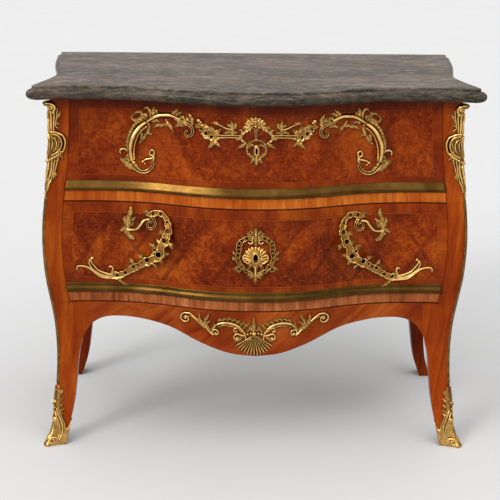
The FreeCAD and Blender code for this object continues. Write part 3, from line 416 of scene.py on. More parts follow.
# %% Marquetry of the drawer fronts
LOZENGE_WIDTH = 0.112
LOZENGE_HEIGHT = 0.155
LOZENGE_FOOT = 0.010
TRELLIS = 0.055
LINE_SOFTNESS = 0.008
BORDER = 0.024


def trellis_pattern(f, x, low):
    """How strongly a place lies in the dark bands, and two random tones for each lozenge."""
    wobble = f.calc("MULTIPLY", f.calc("SUBTRACT", f.noise(f.place, 30.0, 2.0), 0.5), 0.04)
    a = f.calc("ADD", f.calc("DIVIDE", x, LOZENGE_WIDTH), wobble)
    b = f.calc("DIVIDE", f.calc("SUBTRACT", low, LOZENGE_FOOT), LOZENGE_HEIGHT)
    lines, cells = [], []
    for how in ("ADD", "SUBTRACT"):
        across = f.calc(how, a, b)
        lines.append(f.calc("ABSOLUTE", f.calc("SUBTRACT", f.calc("FRACT", across), 0.5)))
        cells.append(f.calc("FLOOR", across))
    near = f.calc("MAXIMUM", *lines)
    band = f.fade(near, 0.5 - TRELLIS - LINE_SOFTNESS, 0.5 - TRELLIS + LINE_SOFTNESS)
    worn = f.fade(f.noise(f.place, 7.0, 2.0), 0.36, 0.56, 0.35, 1.0)
    tone = f.node("TexWhiteNoise", {"Vector": f.joined(cells[0], cells[1], 0.0)},
                  noise_dimensions="3D")
    return f.calc("MULTIPLY", band, worn), tone.outputs["Value"]


def marquetry(name, dark, middle, light, border_tones, strip_tones, trellis_share, string_share):
    """Drawer veneer. The piece's 'panel' values are x, height in the field, and height of the field
    left above; 'rim' is the distance to the nearest end, and the height over the lower edge."""
    f = Finish(name, **POLISH)
    x, low, high = f.parts(f.attribute("panel").outputs["Vector"])[0:3]
    end, foot = f.parts(f.attribute("rim").outputs["Vector"])[0:2]
    band, tone = trellis_pattern(f, x, low)
    burr_colour = burr(f, f.place, dark, middle, light)
    burr_colour = f.blend(f.fade(tone, 0.0, 0.6, 0.34, 0.0), burr_colour, dark)
    burr_colour = f.blend(f.fade(tone, 0.5, 1.0, 0.0, 0.2), burr_colour, light)
    slanting = wood(f, f.turned(f.place, angles=(0, 0.7, 0)), DEEP, dark, RED)[0]
    field = f.blend(f.calc("MULTIPLY", band, trellis_share), burr_colour, slanting)
    upright = f.turned(f.place, angles=(0, math.radians(90), 0))
    end_colour = wood(f, f.place, *border_tones)[0]
    top_colour = wood(f, upright, *border_tones)[0]
    at_end = f.fade(f.calc("SUBTRACT", high, end), -0.0005, 0.0005)
    border_colour = f.blend(at_end, top_colour, end_colour)
    edge = f.calc("MINIMUM", f.calc("MINIMUM", end, high), f.calc("ADD", low, 0.010))
    edge = f.calc("ADD", edge, f.calc("MULTIPLY", f.noise(f.place, 60.0, 2.0), 0.0012))
    border = f.fade(edge, BORDER - 0.0006, BORDER + 0.0006, 1.0, 0.0)
    field = f.blend(f.calc("MULTIPLY", border, 0.7), field, border_colour)
    for inset, width, colour in ((0.0, 0.0011, light), (0.0024, 0.0008, DEEP),
                                 (-0.0024, 0.0008, DEEP)):
        gap = f.calc("ABSOLUTE", f.calc("SUBTRACT", edge, BORDER + inset))
        line = f.fade(gap, width * 0.6, width * 1.3, 0.6 * string_share, 0.0)
        field = f.blend(line, field, colour)
    strip, strip_fine = wood(f, upright, *strip_tones, figure=70.0)
    in_strip = f.fade(foot, BAND_HEIGHT, BAND_HEIGHT + 0.002, 1.0, 0.0)
    colour = f.blend(in_strip, field, strip)
    # A near-black line along the lower edge of each drawer front: painted shade for the gap below
    # it.
    colour = f.blend(f.fade(foot, 0.0010, 0.0026, 0.9, 0.0), colour, linear(22, 9, 4))
    return polish(f, colour, strip_fine, 0.17)


upper_marquetry = marquetry(
    "upper_marquetry", linear(88, 23, 1), linear(130, 43, 4), linear(172, 78, 15),
    border_tones=(linear(86, 23, 1), linear(118, 37, 3), linear(152, 62, 8)),
    strip_tones=(WARM, linear(178, 86, 22), PALE), trellis_share=0.24, string_share=0.35)
lower_marquetry = marquetry(
    "lower_marquetry", linear(80, 21, 2), linear(126, 41, 4), linear(174, 80, 16),
    border_tones=(linear(98, 28, 2), linear(138, 50, 5), linear(172, 80, 14)),
    strip_tones=(linear(112, 52, 22), linear(164, 88, 44), linear(198, 122, 70)),
    trellis_share=0.55, string_share=0.6)
print("marquetry:", upper_marquetry.name, lower_marquetry.name)


# %% [markdown]
# ## Metal and stone
# The mounts were cast, chased and gilt: bright where a burnisher reached, brown in the recesses.
# Each cast piece carries a 'relief' value from 0 (ground) to 1 (crest), and the finish darkens
# the low places. This is partly the real burnish and patina and partly painted light: a painted
# highlight on the crests, painted shade in the hollows and along and under each strip, and near
# black, painted shade, in the sunk windows and keyhole mouths. The mouldings are plain drawn brass
# that has gone olive brown.


# %% Gilt bronze, dark brass, plain oak, iron
def gilding(name, bright, middle, deep, rough):
    f = Finish(name, Metallic=1.0)
    relief = f.attribute("relief").outputs["Fac"]
    patches = f.noise(f.place, 90.0, 4.0, 0.6)
    level = f.calc("ADD", relief, f.calc("MULTIPLY", f.calc("SUBTRACT", patches, 0.5), 0.8))
    # Near black at 0 and below is painted shade for sunk windows and keyhole mouths. The rise to
    # the bright stop is partly burnish and patina, and partly painted shade and painted highlight.
    colour = f.ramp(level, (0.0, linear(5, 4, 2)), (0.16, deep), (0.62, middle), (1.0, bright))
    worn = f.blend(f.fade(f.noise(f.place, 14.0, 3.0), 0.45, 0.75, 0.0, 0.4), colour, middle)
    uneven = f.fade(level, 0.3, 0.9, rough + 0.18, rough)
    return f.set(Base_Color=worn, Roughness=uneven,
                 Normal=f.bump(f.noise(f.place, 420.0, 3.0), 0.0002))


gilt = gilding("gilt_bronze", linear(240, 198, 120), linear(160, 112, 50), linear(38, 22, 6), 0.20)


def dark_brass(name):
    f = Finish(name, Metallic=1.0)
    along = f.turned(f.place, scale=(0.05, 1.0, 1.0))
    brushed = f.noise(along, 260.0, 3.0, 0.6)
    patches = f.noise(f.place, 16.0, 4.0, 0.6)
    colour = f.ramp(patches, (0.35, linear(70, 47, 17)), (0.65, linear(98, 70, 31)))
    return f.set(Base_Color=colour, Roughness=f.fade(brushed, 0.3, 0.7, 0.24, 0.32),
                 Normal=f.bump(brushed, 0.00006))


moulding_brass = dark_brass("moulding_brass")


def oak(name, dark, middle, light):
    f = Finish(name, Roughness=0.72)
    colour, fine = wood(f, f.place, dark, middle, light, figure=18.0, pores=300.0)
    rough = f.fade(fine, 0.3, 0.7, 0.62, 0.8)
    return f.set(Base_Color=colour, Roughness=rough, Normal=f.bump(fine, 0.0003))


carcass_oak = oak("carcass_oak", linear(72, 48, 28), linear(110, 78, 48), linear(138, 104, 68))
lining_oak = oak("lining_oak", linear(104, 74, 44), linear(150, 114, 74), linear(182, 146, 102))
# Near-black oak for the walls and floor of the keyholes: painted shade for the inside of the hole.
keyhole_painted_shade = oak("keyhole_painted_shade", linear(10, 7, 4), linear(16, 11, 6), linear(24, 16, 9))
# Near-black oak for the front rails: painted shade for the gaps between the drawers.
rail_painted_gap_shade = oak("rail_painted_gap_shade", linear(20, 12, 7), linear(32, 20, 11), linear(46, 29, 17))


def iron(name):
    f = Finish(name, Metallic=0.9)
    spots = f.noise(f.place, 130.0, 4.0, 0.65)
    colour = f.ramp(spots, (0.35, linear(44, 38, 34)), (0.65, linear(96, 84, 74)))
    return f.set(Base_Color=colour, Roughness=f.fade(spots, 0.3, 0.7, 0.4, 0.65),
                 Normal=f.bump(spots, 0.0002))


lock_iron = iron("lock_iron")
print("metals and oak ready")


# %% [markdown]
# ## Marble
# The slab is a dark breccia. Long beds of beige and grey run roughly along its length, torn and
# folded, with pale and dark threads between them and a little rust in a few places. A coarse noise,
# stretched along the slab, makes the beds, a finer one makes the threads, and the product of two
# more keeps the rust rare. The nosing is coloured darker than the top: painted shade. The stone is
# solid, so the pattern is read in three dimensions and runs over the nosing.


# %% The stone
def breccia(name):
    f = Finish(name, Specular_IOR_Level=0.12)
    folded = f.node("VectorMath", {0: f.place, 1: f.joined(
        0.0, f.calc("MULTIPLY", f.noise(f.place, 3.2, 3.0), 0.07),
        f.calc("MULTIPLY", f.noise(f.place, 5.0, 2.0), 0.03))}, operation="ADD").outputs[0]
    beds_place = f.turned(folded, angles=(0.0, 0.0, 0.05), scale=(0.28, 1.0, 1.3))
    beds = f.noise(beds_place, 90.0, 8.0, 0.76, 0.7)
    broad = f.noise(beds_place, 14.0, 4.0, 0.6, 0.6)
    base = f.ramp(beds, (0.36, linear(38, 37, 33)), (0.46, linear(76, 70, 62)),
                  (0.54, linear(114, 103, 90)), (0.64, linear(172, 154, 132)))
    tint = f.ramp(broad, (0.38, linear(38, 38, 31)), (0.5, linear(86, 72, 60)),
                  (0.62, linear(128, 108, 98)))
    base = f.blend(0.45, base, tint)
    threads = f.noise(f.turned(folded, scale=(0.16, 1.0, 1.4)), 190.0, 5.0, 0.72, 0.5)
    base = f.blend(f.fade(threads, 0.56, 0.64, 0.0, 0.5), base, linear(186, 164, 140))
    base = f.blend(f.fade(threads, 0.35, 0.45, 0.65, 0.0), base, linear(14, 14, 13))
    rust = f.calc("MULTIPLY", f.fade(f.noise(beds_place, 30.0, 5.0, 0.6), 0.58, 0.66),
                  f.fade(f.noise(f.place, 6.0, 2.0), 0.50, 0.60))
    base = f.blend(f.calc("MULTIPLY", rust, 0.5), base, linear(146, 92, 44))
    crack = f.calc("ABSOLUTE", f.calc("SUBTRACT", f.noise(folded, 7.0, 6.0, 0.6, 1.6), 0.5))
    base = f.blend(f.fade(crack, 0.0, 0.004, 0.6, 0.0), base, linear(10, 10, 9))
    top = CASE_TOP + SLAB
    # Below the top's arris the nosing is blended towards a dark colour: painted shade that makes
    # the edge darker than the top.
    edge_painted_shade = f.fade(f.parts(f.place)[2], top - 0.010, top - 0.001, 0.42, 0.0)
    base = f.blend(edge_painted_shade, base, linear(30, 29, 22))
    return f.set(Base_Color=base, Roughness=f.fade(beds, 0.3, 0.7, 0.14, 0.24),
                 Normal=f.bump(beds, 0.0001))


marble = breccia("breccia_marble")
print("marble:", marble.name)

# %% [markdown]
# ## The marble top
# The slab overhangs the case, follows its serpentine front and draws in at the ends. Its nosing is
# a full round over a small cove, with a sunk quirk and an arris above. It is a stack of outlines:
# each row of the profile sets a height and how far the outline lies inside the widest line.

# %% Slab
HALF_LENGTH, HALF_DEPTH = 0.522, 0.281
MARBLE_WAIST = 0.042
SWEEP_START = 0.40
MARBLE_TURN = 0.0112
NOSING = ((0.0, 26.0), (0.0, 22.0), (0.0, 20.0), (0.02, 13.5), (0.07, 9.0), (0.15, 5.0),
          (0.25, 2.0), (0.35, 0.6), (0.46, 0.0), (0.57, 0.5), (0.66, 2.0), (0.73, 4.6),
          (0.775, 7.6), (0.80, 10.6), (0.815, 12.4), (0.86, 12.6), (0.90, 12.0), (0.96, 12.1),
          (0.99, 12.7), (1.0, 13.8), (1.0, 15.0), (1.0, 18.0))


def slab_outline(inset):
    """Closed plan outline, starting at the middle of the front and going to the right."""
    corner, plain = HALF_LENGTH - inset, HALF_DEPTH - SERPENTINE_DEPTH - inset
    x = np.concatenate([np.linspace(0, SWEEP_START, 60, endpoint=False),
                        np.linspace(SWEEP_START, corner - MARBLE_TURN, 18)])
    front = np.stack([x, -(plain + serpentine(x) + sweep(x, corner))], 1)
    corner_y = -(plain + CORNER_SWEEP - MARBLE_TURN)
    t = np.linspace(0, 1, 50)
    side = np.stack([corner - MARBLE_WAIST * waist(t), corner_y + (HALF_DEPTH - corner_y) * t], 1)
    turn = np.linspace(0, np.pi / 2, 8)[1:-1]
    near = np.array((corner - MARBLE_TURN, corner_y))
    reach = side[0] - near, front[-1] - near
    round_corner = [near + reach[0] * np.sin(a) + reach[1] * np.cos(a) for a in turn]
    right = np.concatenate([front, round_corner, side])
    back = np.stack([np.linspace(side[-1][0], 0, 12)[1:], np.full(11, HALF_DEPTH)], 1)
    right = np.concatenate([right, back])
    left = right[-2:0:-1] * (-1, 1)
    return np.concatenate([right, left])


rings = []
for share, inset in NOSING:
    outline = slab_outline(inset * MM)
    rings.append(np.column_stack([outline, np.full(len(outline), CASE_TOP + SLAB * share)]))
marble_piece = tube("marble_slab", np.array(rings))
marble_piece.data.materials.append(marble)
sharp = marble_piece.modifiers.new("keep the flats flat", "EDGE_SPLIT")
sharp.split_angle = math.radians(50)
place(marble_piece, "carcass", "marble", "marble_top")
print("marble slab:", len(marble_piece.data.polygons), "faces")

# %% [markdown]
# ## Drawer fronts
# A drawer front is one thick board, bowed in both directions and veneered. Its outer face lies on
# the form, its ends follow the posts and its inner face only follows the serpentine. Every point
# keeps its distance to the ends and to the edges of the field for the marquetry.


# %% Two drawer fronts
def drawer_front(name, span, material, body):
    low, high = span
    z = np.concatenate([np.linspace(low, low + BAND_HEIGHT, 8, endpoint=False),
                        np.linspace(low + BAND_HEIGHT, high, 60)])
    share = np.linspace(-1, 1, 220)
    half = corner_x(z) - POST_WIDTH - DRAWER_GAP
    x = half[:, None] * share[None, :]
    height = np.repeat(z[:, None], len(share), 1)
    front = np.stack([x, front_y(x, height), height], 2)
    back = np.stack([x, -(INNER_END_Y + serpentine(x)), height], 2)
    field = low + BAND_HEIGHT + MOULDING_HEIGHT
    panel = np.stack([x, height - field, high - height], 2).reshape(-1, 3)
    rim = np.stack([half[:, None] - np.abs(x), height - low, np.zeros_like(x)], 2).reshape(-1, 3)
    piece = board(name, front, back, {"panel": panel, "rim": rim})
    piece.data.materials.append(material)
    return place(piece, body, "veneer", name.replace("veneered_", ""))


upper_front = drawer_front("veneered_upper_drawer_front", UPPER_FRONT, upper_marquetry,
                           "upper_drawer")
lower_front = drawer_front("veneered_lower_drawer_front", LOWER_FRONT, lower_marquetry,
                           "lower_drawer")
print("drawer fronts:", len(upper_front.data.vertices), "points each")

# %% [markdown]
# Each lock needs a keyhole in its drawer front. A cutter of the keyhole's shape, reaching 14 mm
# into the board, goes into a Boolean modifier, whose result is kept as a plain mesh. The walls and
# floor of the hole are near black, painted shade for the inside of the hole, and the inner face of
# the board is bare oak, so these faces get finishes of their own.

# %% Keyholes cut into the fronts
KEYHOLES = {"upper": (0.741, 0.0022, 0.0068), "lower": (0.493, 0.0046, 0.0095)}
KEYHOLE_TAPER = 0.12
KEYHOLE_SIDES = 24


def cut_keyhole(front, height, half_width, half_height):
    """Cuts a slot with a round head. Its walls are near black, painted shade for the hole, and the
    inner face is bare oak.
    """
    turn = np.linspace(0, 2 * np.pi, KEYHOLE_SIDES, endpoint=False)
    x = half_width * np.cos(turn) * (1 - KEYHOLE_TAPER * np.sin(turn))
    z = height + half_height * np.sin(turn)
    face = float(front_y(0.0, height))
    slot = np.array([np.column_stack([x, np.full(KEYHOLE_SIDES, y), z])
                     for y in (face - 0.01, face + 0.014)])
    cutter = tube("keyhole_cutter", slot)
    cut = front.modifiers.new("keyhole", "BOOLEAN")
    cut.object, cut.operation, cut.solver = cutter, "DIFFERENCE", "EXACT"
    bpy.context.view_layer.update()
    view = bpy.context.evaluated_depsgraph_get()
    shape = bpy.data.meshes.new_from_object(front.evaluated_get(view))
    front.modifiers.clear()
    front.data = shape
    bpy.data.objects.remove(cutter)
    front.data.materials.append(carcass_oak)
    front.data.materials.append(keyhole_painted_shade)
    for facet in front.data.polygons:
        x, y, z = facet.center
        in_slot = abs(x) < 1.15 * half_width and abs(z - height) < 1.05 * half_height
        if facet.normal.y > 0.35:
            facet.material_index = 1
        elif in_slot and y > face + 0.002:
            facet.material_index = 2


cut_keyhole(upper_front, *KEYHOLES["upper"])
cut_keyhole(lower_front, *KEYHOLES["lower"])
print("keyholes cut:", len(upper_front.data.vertices), "points each")

# %% [markdown]
# ## Posts, legs, sides and apron
# Each front post and its cabriole leg are one piece of wood. We build it as a stack of plan
# sections: along the front face, over the corner flat, along the side and back along the inner
# edge. Below the knee the inner edge follows the leg. The left post is the right one mirrored.

# %% Front posts
FOOT_Y = float(-(end_y(0) + CORNER_SWEEP) + FOOT_DEPTH)
KNEE_Z = float(apron_z(KNEE_X))
KNEE_BEND = 1.6


def post_section(z, inner):
    corner, front = float(corner_x(z)), float(end_y(z))
    depth = smooth(LEG_BACK, min(z / KNEE_Z, 1.0))
    rear = FOOT_Y + (POST_BACK_Y - FOOT_Y) * float(depth)
    x = np.linspace(inner, corner - CORNER_FLAT, 14)
    face = np.stack([x, front_y(x, z)], 1)
    y = np.linspace(-(front + CORNER_SWEEP - CORNER_FLAT), rear, 12)
    side = np.stack([side_x(y, z), y], 1)
    back_x = np.linspace(side[-1][0], inner, 5)[1:]
    back = np.stack([back_x, np.full(4, rear)], 1)
    ring = np.concatenate([face, side, back])
    return np.column_stack([ring, np.full(len(ring), z)])


def post_sections():
    leg = [post_section(z, float(corner_x(z) - smooth(FRONT_LEG, z / APRON_CLEARANCE)))
           for z in np.linspace(0, APRON_CLEARANCE, 50, endpoint=False)]
    start = float(corner_x(APRON_CLEARANCE) - smooth(FRONT_LEG, 1.0))
    for z in np.linspace(APRON_CLEARANCE, KNEE_Z, 8):
        risen = (z - APRON_CLEARANCE) / (KNEE_Z - APRON_CLEARANCE)
        leg.append(post_section(z, start + (KNEE_X - start) * risen**KNEE_BEND))
    leg += [post_section(z, KNEE_X) for z in np.linspace(KNEE_Z, APRON_TOP, 12)[1:]]
    leg += [post_section(z, float(corner_x(z)) - POST_WIDTH)
            for z in np.linspace(APRON_TOP + 1e-5, CASE_TOP, 80)]
    return np.array(leg)


sections = post_sections()
for side, points in (("right", sections), ("left", flipped(sections))):
    post = tube(f"veneered_front_{side}_post", points, SOFT_EDGE)
    post.data.materials.append(post_veneer)
    place(post, "carcass", "veneer", f"front_{side}_post")
print("front posts:", sections.shape)


# %% Rear posts and side panels
REAR_FOOT_WIDTH = 0.028
REAR_FLARE = 0.009
REAR_KNEE_WIDTH = 0.046
SHOULDER_DROP = 0.14


def rear_inner(z):
    """Inner edge of the rear post: a leg that widens upwards, then a shoulder to the side board."""
    share = z / APRON_CLEARANCE
    shoulder = APRON_TOP - (CASE_TOP - APRON_TOP) * SHOULDER_DROP
    if z <= APRON_CLEARANCE:
        return float(side_x(REAR_POST_Y, z)) - (REAR_FOOT_WIDTH + REAR_FLARE * (share + share**4))
    edge = float(side_x(REAR_POST_Y, APRON_CLEARANCE)) - REAR_KNEE_WIDTH
    risen = min((z - APRON_CLEARANCE) / (shoulder - APRON_CLEARANCE), 1.0)
    return edge + (SIDE_INNER_X - edge) * risen


def rear_section(z):
    y = np.linspace(REAR_POST_Y, CASE_BACK, 6)
    outer = np.stack([side_x(y, z), y], 1)
    inner = rear_inner(z)
    ring = np.concatenate([outer, [(inner, CASE_BACK), (inner, REAR_POST_Y)]])
    return np.column_stack([ring, np.full(len(ring), z)])


def side_board():
    y = np.linspace(POST_BACK_Y, REAR_POST_Y, 60)
    low = KNEE_Z + smooth(SIDE_EDGE, (y - y[0]) / (y[-1] - y[0]))
    share = np.linspace(0, 1, 90)
    z = low[None, :] + (CASE_TOP - low[None, :]) * share[:, None]
    depth = np.repeat(y[None, :], len(share), 0)
    outer = np.stack([side_x(depth, z), depth, z], 2)
    inner = np.stack([np.full_like(z, SIDE_INNER_X), depth, z], 2)
    return outer, inner


rear_sections = np.array([rear_section(z) for z in np.linspace(0, CASE_TOP, 120)])
outer, inner = side_board()
for side, turn in (("right", lambda p: p), ("left", flipped)):
    rear = tube(f"veneered_rear_{side}_post", turn(rear_sections), bevel=0.001)
    rear.data.materials.append(side_veneer)
    place(rear, "carcass", "veneer", f"rear_{side}_post")
    panel = board(f"veneered_{side}_side_panel", turn(outer), turn(inner))
    panel.data.materials.append(side_veneer)
    place(panel, "carcass", "veneer", f"{side}_side_panel")
print("rear posts and sides built")

# %% Apron
APRON_INNER_Y = INNER_END_Y - 0.001
x = np.linspace(-KNEE_X, KNEE_X, 240)
low = apron_z(x)
share = np.linspace(0, 1, 26)
z = low[None, :] + (APRON_TOP - low[None, :]) * share[:, None]
wide = np.repeat(x[None, :], len(share), 0)
apron_front = np.stack([wide, front_y(wide, z), z], 2)
apron_back = np.stack([wide, -(APRON_INNER_Y + serpentine(wide)), z], 2)
apron = board("veneered_front_apron", apron_front, apron_back)
apron.data.materials.append(apron_veneer)
place(apron, "carcass", "veneer", "front_apron")
print("apron:", len(apron.data.vertices), "points")

# %% [markdown]
# ## Brass mouldings
# A heavy rounded moulding crosses each drawer, fullest near its foot. It follows the front exactly,
# so it is a strip of profile points pushed out from the form. The lower one falls back more towards
# its top, so that it still meets the light where the case turns under.

# %% Mouldings
UPPER_PROFILE = ((0.0, 0.0), (0.0, 1.2), (0.03, 2.8), (0.07, 4.6), (0.13, 6.1), (0.20, 6.9),
                 (0.27, 7.0), (0.35, 6.75), (0.45, 6.05), (0.55, 5.1), (0.65, 4.1), (0.75, 3.1),
                 (0.85, 2.2), (0.93, 1.5), (1.0, 1.0), (1.0, 0.0))
LOWER_PROFILE = ((0.0, 0.0), (0.0, 1.2), (0.03, 3.2), (0.08, 5.2), (0.15, 6.5), (0.23, 7.0),
                 (0.32, 6.9), (0.40, 6.3), (0.48, 5.4), (0.56, 4.3), (0.64, 3.2), (0.72, 2.3),
                 (0.80, 1.6), (0.90, 1.2), (1.0, 1.0), (1.0, 0.0))


def moulding(body, low, profile):
    """Profile rows are the share of the moulding's height and how far it stands out, in mm."""
    share = np.linspace(-1, 1, 200)
    rings = []
    for u in share:
        ring = []
        for up, out in profile:
            z = low + MOULDING_HEIGHT * up
            x = u * (corner_x(z) - POST_WIDTH - DRAWER_GAP)
            ring.append((x, front_y(x, z) - out * MM, z))
        rings.append(ring)
    piece = tube(f"brass_{body}_moulding", np.array(rings, float))
    piece.data.materials.append(moulding_brass)
    return place(piece, body, "dark_brass", f"{body}_moulding")


moulding("upper_drawer", UPPER_FRONT[0] + BAND_HEIGHT, UPPER_PROFILE)
moulding("lower_drawer", LOWER_FRONT[0] + BAND_HEIGHT, LOWER_PROFILE)
print("mouldings built")

# %% [markdown]
# ## How the cast mounts are built
# A founder's model for such mounts is built up from a few kinds of part: smooth rods, grooved
# bands, leaves with lobed edges, rings, volutes and beads. All of them are strips that follow a
# path, with a section, a changing width and a changing height, so one function draws them all.
# A pierced band is a web between two edge lines; its sunk windows have near-black floors, painted
# shade for the openings. All parts are laid out flat in millimetres (right, up, out) and then
# wrapped onto the curved wood.


# %% Wrapping flat patterns onto the wood
def on_front(x, z, out):
    """A pattern's point on the front of the drawers or the apron."""
    x, z = x * MM, z * MM
    return np.stack([x, front_y(x, z) - out * MM, z], -1)


FLAT_HALF = CORNER_FLAT / math.sqrt(2)
CORNER_TURN = 0.012


def on_corner(s, z, out):
    """A pattern's point on the right corner: s runs from the front (negative) round to the side."""
    s, z, out = s * MM, z * MM, out * MM
    corner, plain = corner_x(z), end_y(z)
    front_x = corner - CORNER_FLAT + np.minimum(s + FLAT_HALF, 0)
    side_start = -(plain + CORNER_SWEEP - CORNER_FLAT)
    side_y = side_start + np.maximum(s - FLAT_HALF, 0)
    share = np.clip((s + FLAT_HALF) / (2 * FLAT_HALF), 0, 1)
    x = np.where(s < FLAT_HALF, front_x + CORNER_FLAT * share, side_x(side_y, z))
    y = np.where(s < FLAT_HALF, front_y(front_x, z) + CORNER_FLAT * share, side_y)
    turn = np.clip((s + CORNER_TURN) / (2 * CORNER_TURN), 0, 1)
    angle = np.pi / 2 * (turn * turn * (3 - 2 * turn))
    return np.stack([x + out * np.sin(angle), y - out * np.cos(angle), z], -1)


# sections of a strip: place across, height
ROUND = ((-1, 0), (-0.92, 0.42), (-0.7, 0.74), (-0.38, 0.94), (0, 1), (0.38, 0.94), (0.7, 0.74),
         (0.92, 0.42), (1, 0))
GROOVED = ((-1, 0), (-0.88, 0.7), (-0.66, 1), (-0.4, 0.75), (-0.2, 0.3), (0, 0.22), (0.2, 0.3),
           (0.4, 0.75), (0.66, 1), (0.88, 0.7), (1, 0))
LEAF = ((-1, 0.1), (-0.86, 0.62), (-0.66, 0.42), (-0.44, 0.9), (-0.24, 0.5), (0, 1), (0.24, 0.5),
        (0.44, 0.9), (0.66, 0.42), (0.86, 0.62), (1, 0.1))
WEB = ((0, 0.42), (0.3, 0.42), (0.5, 0.5), (0.68, 0.85), (0.82, 1.0), (0.93, 0.8), (1, 0.1))
RIBBON = ((-1, 0), (-0.9, 0.8), (-0.72, 1), (-0.5, 0.82), (0, 0.7), (0.5, 0.82), (0.72, 1),
          (0.9, 0.8), (1, 0))

# how far a strip's ground stands off the wood, in mm, and how finely beads and bosses are drawn
STANDOFF = 0.3
BEAD_ROWS, BEAD_SIDES = 4, 10
BOSS_POINTS = 33


def along(value, t):
    """A constant, or values given at even steps of a strip, at the shares t."""
    if np.isscalar(value):
        return np.full(len(t), float(value))
    rows = np.column_stack([np.linspace(0, 1, len(value)), value])
    return smooth(rows, t)


def curve(points, step=1.6):
    """Evenly spaced points on a smooth curve through the given ones."""
    points = np.asarray(points, float)
    gaps = np.sqrt(np.linalg.norm(np.diff(points, axis=0), axis=1)) + 1e-9
    at = np.concatenate([[0], np.cumsum(gaps)])
    fine = np.linspace(0, at[-1], 400)
    dense = np.stack([smooth(np.column_stack([at, places]), fine) for places in points.T], 1)
    length = np.concatenate([[0], np.cumsum(np.linalg.norm(np.diff(dense, axis=0), axis=1))])
    count = max(int(length[-1] / step), 5)
    even = np.linspace(0, length[-1], count)
    return np.stack([np.interp(even, length, places) for places in dense.T], 1)


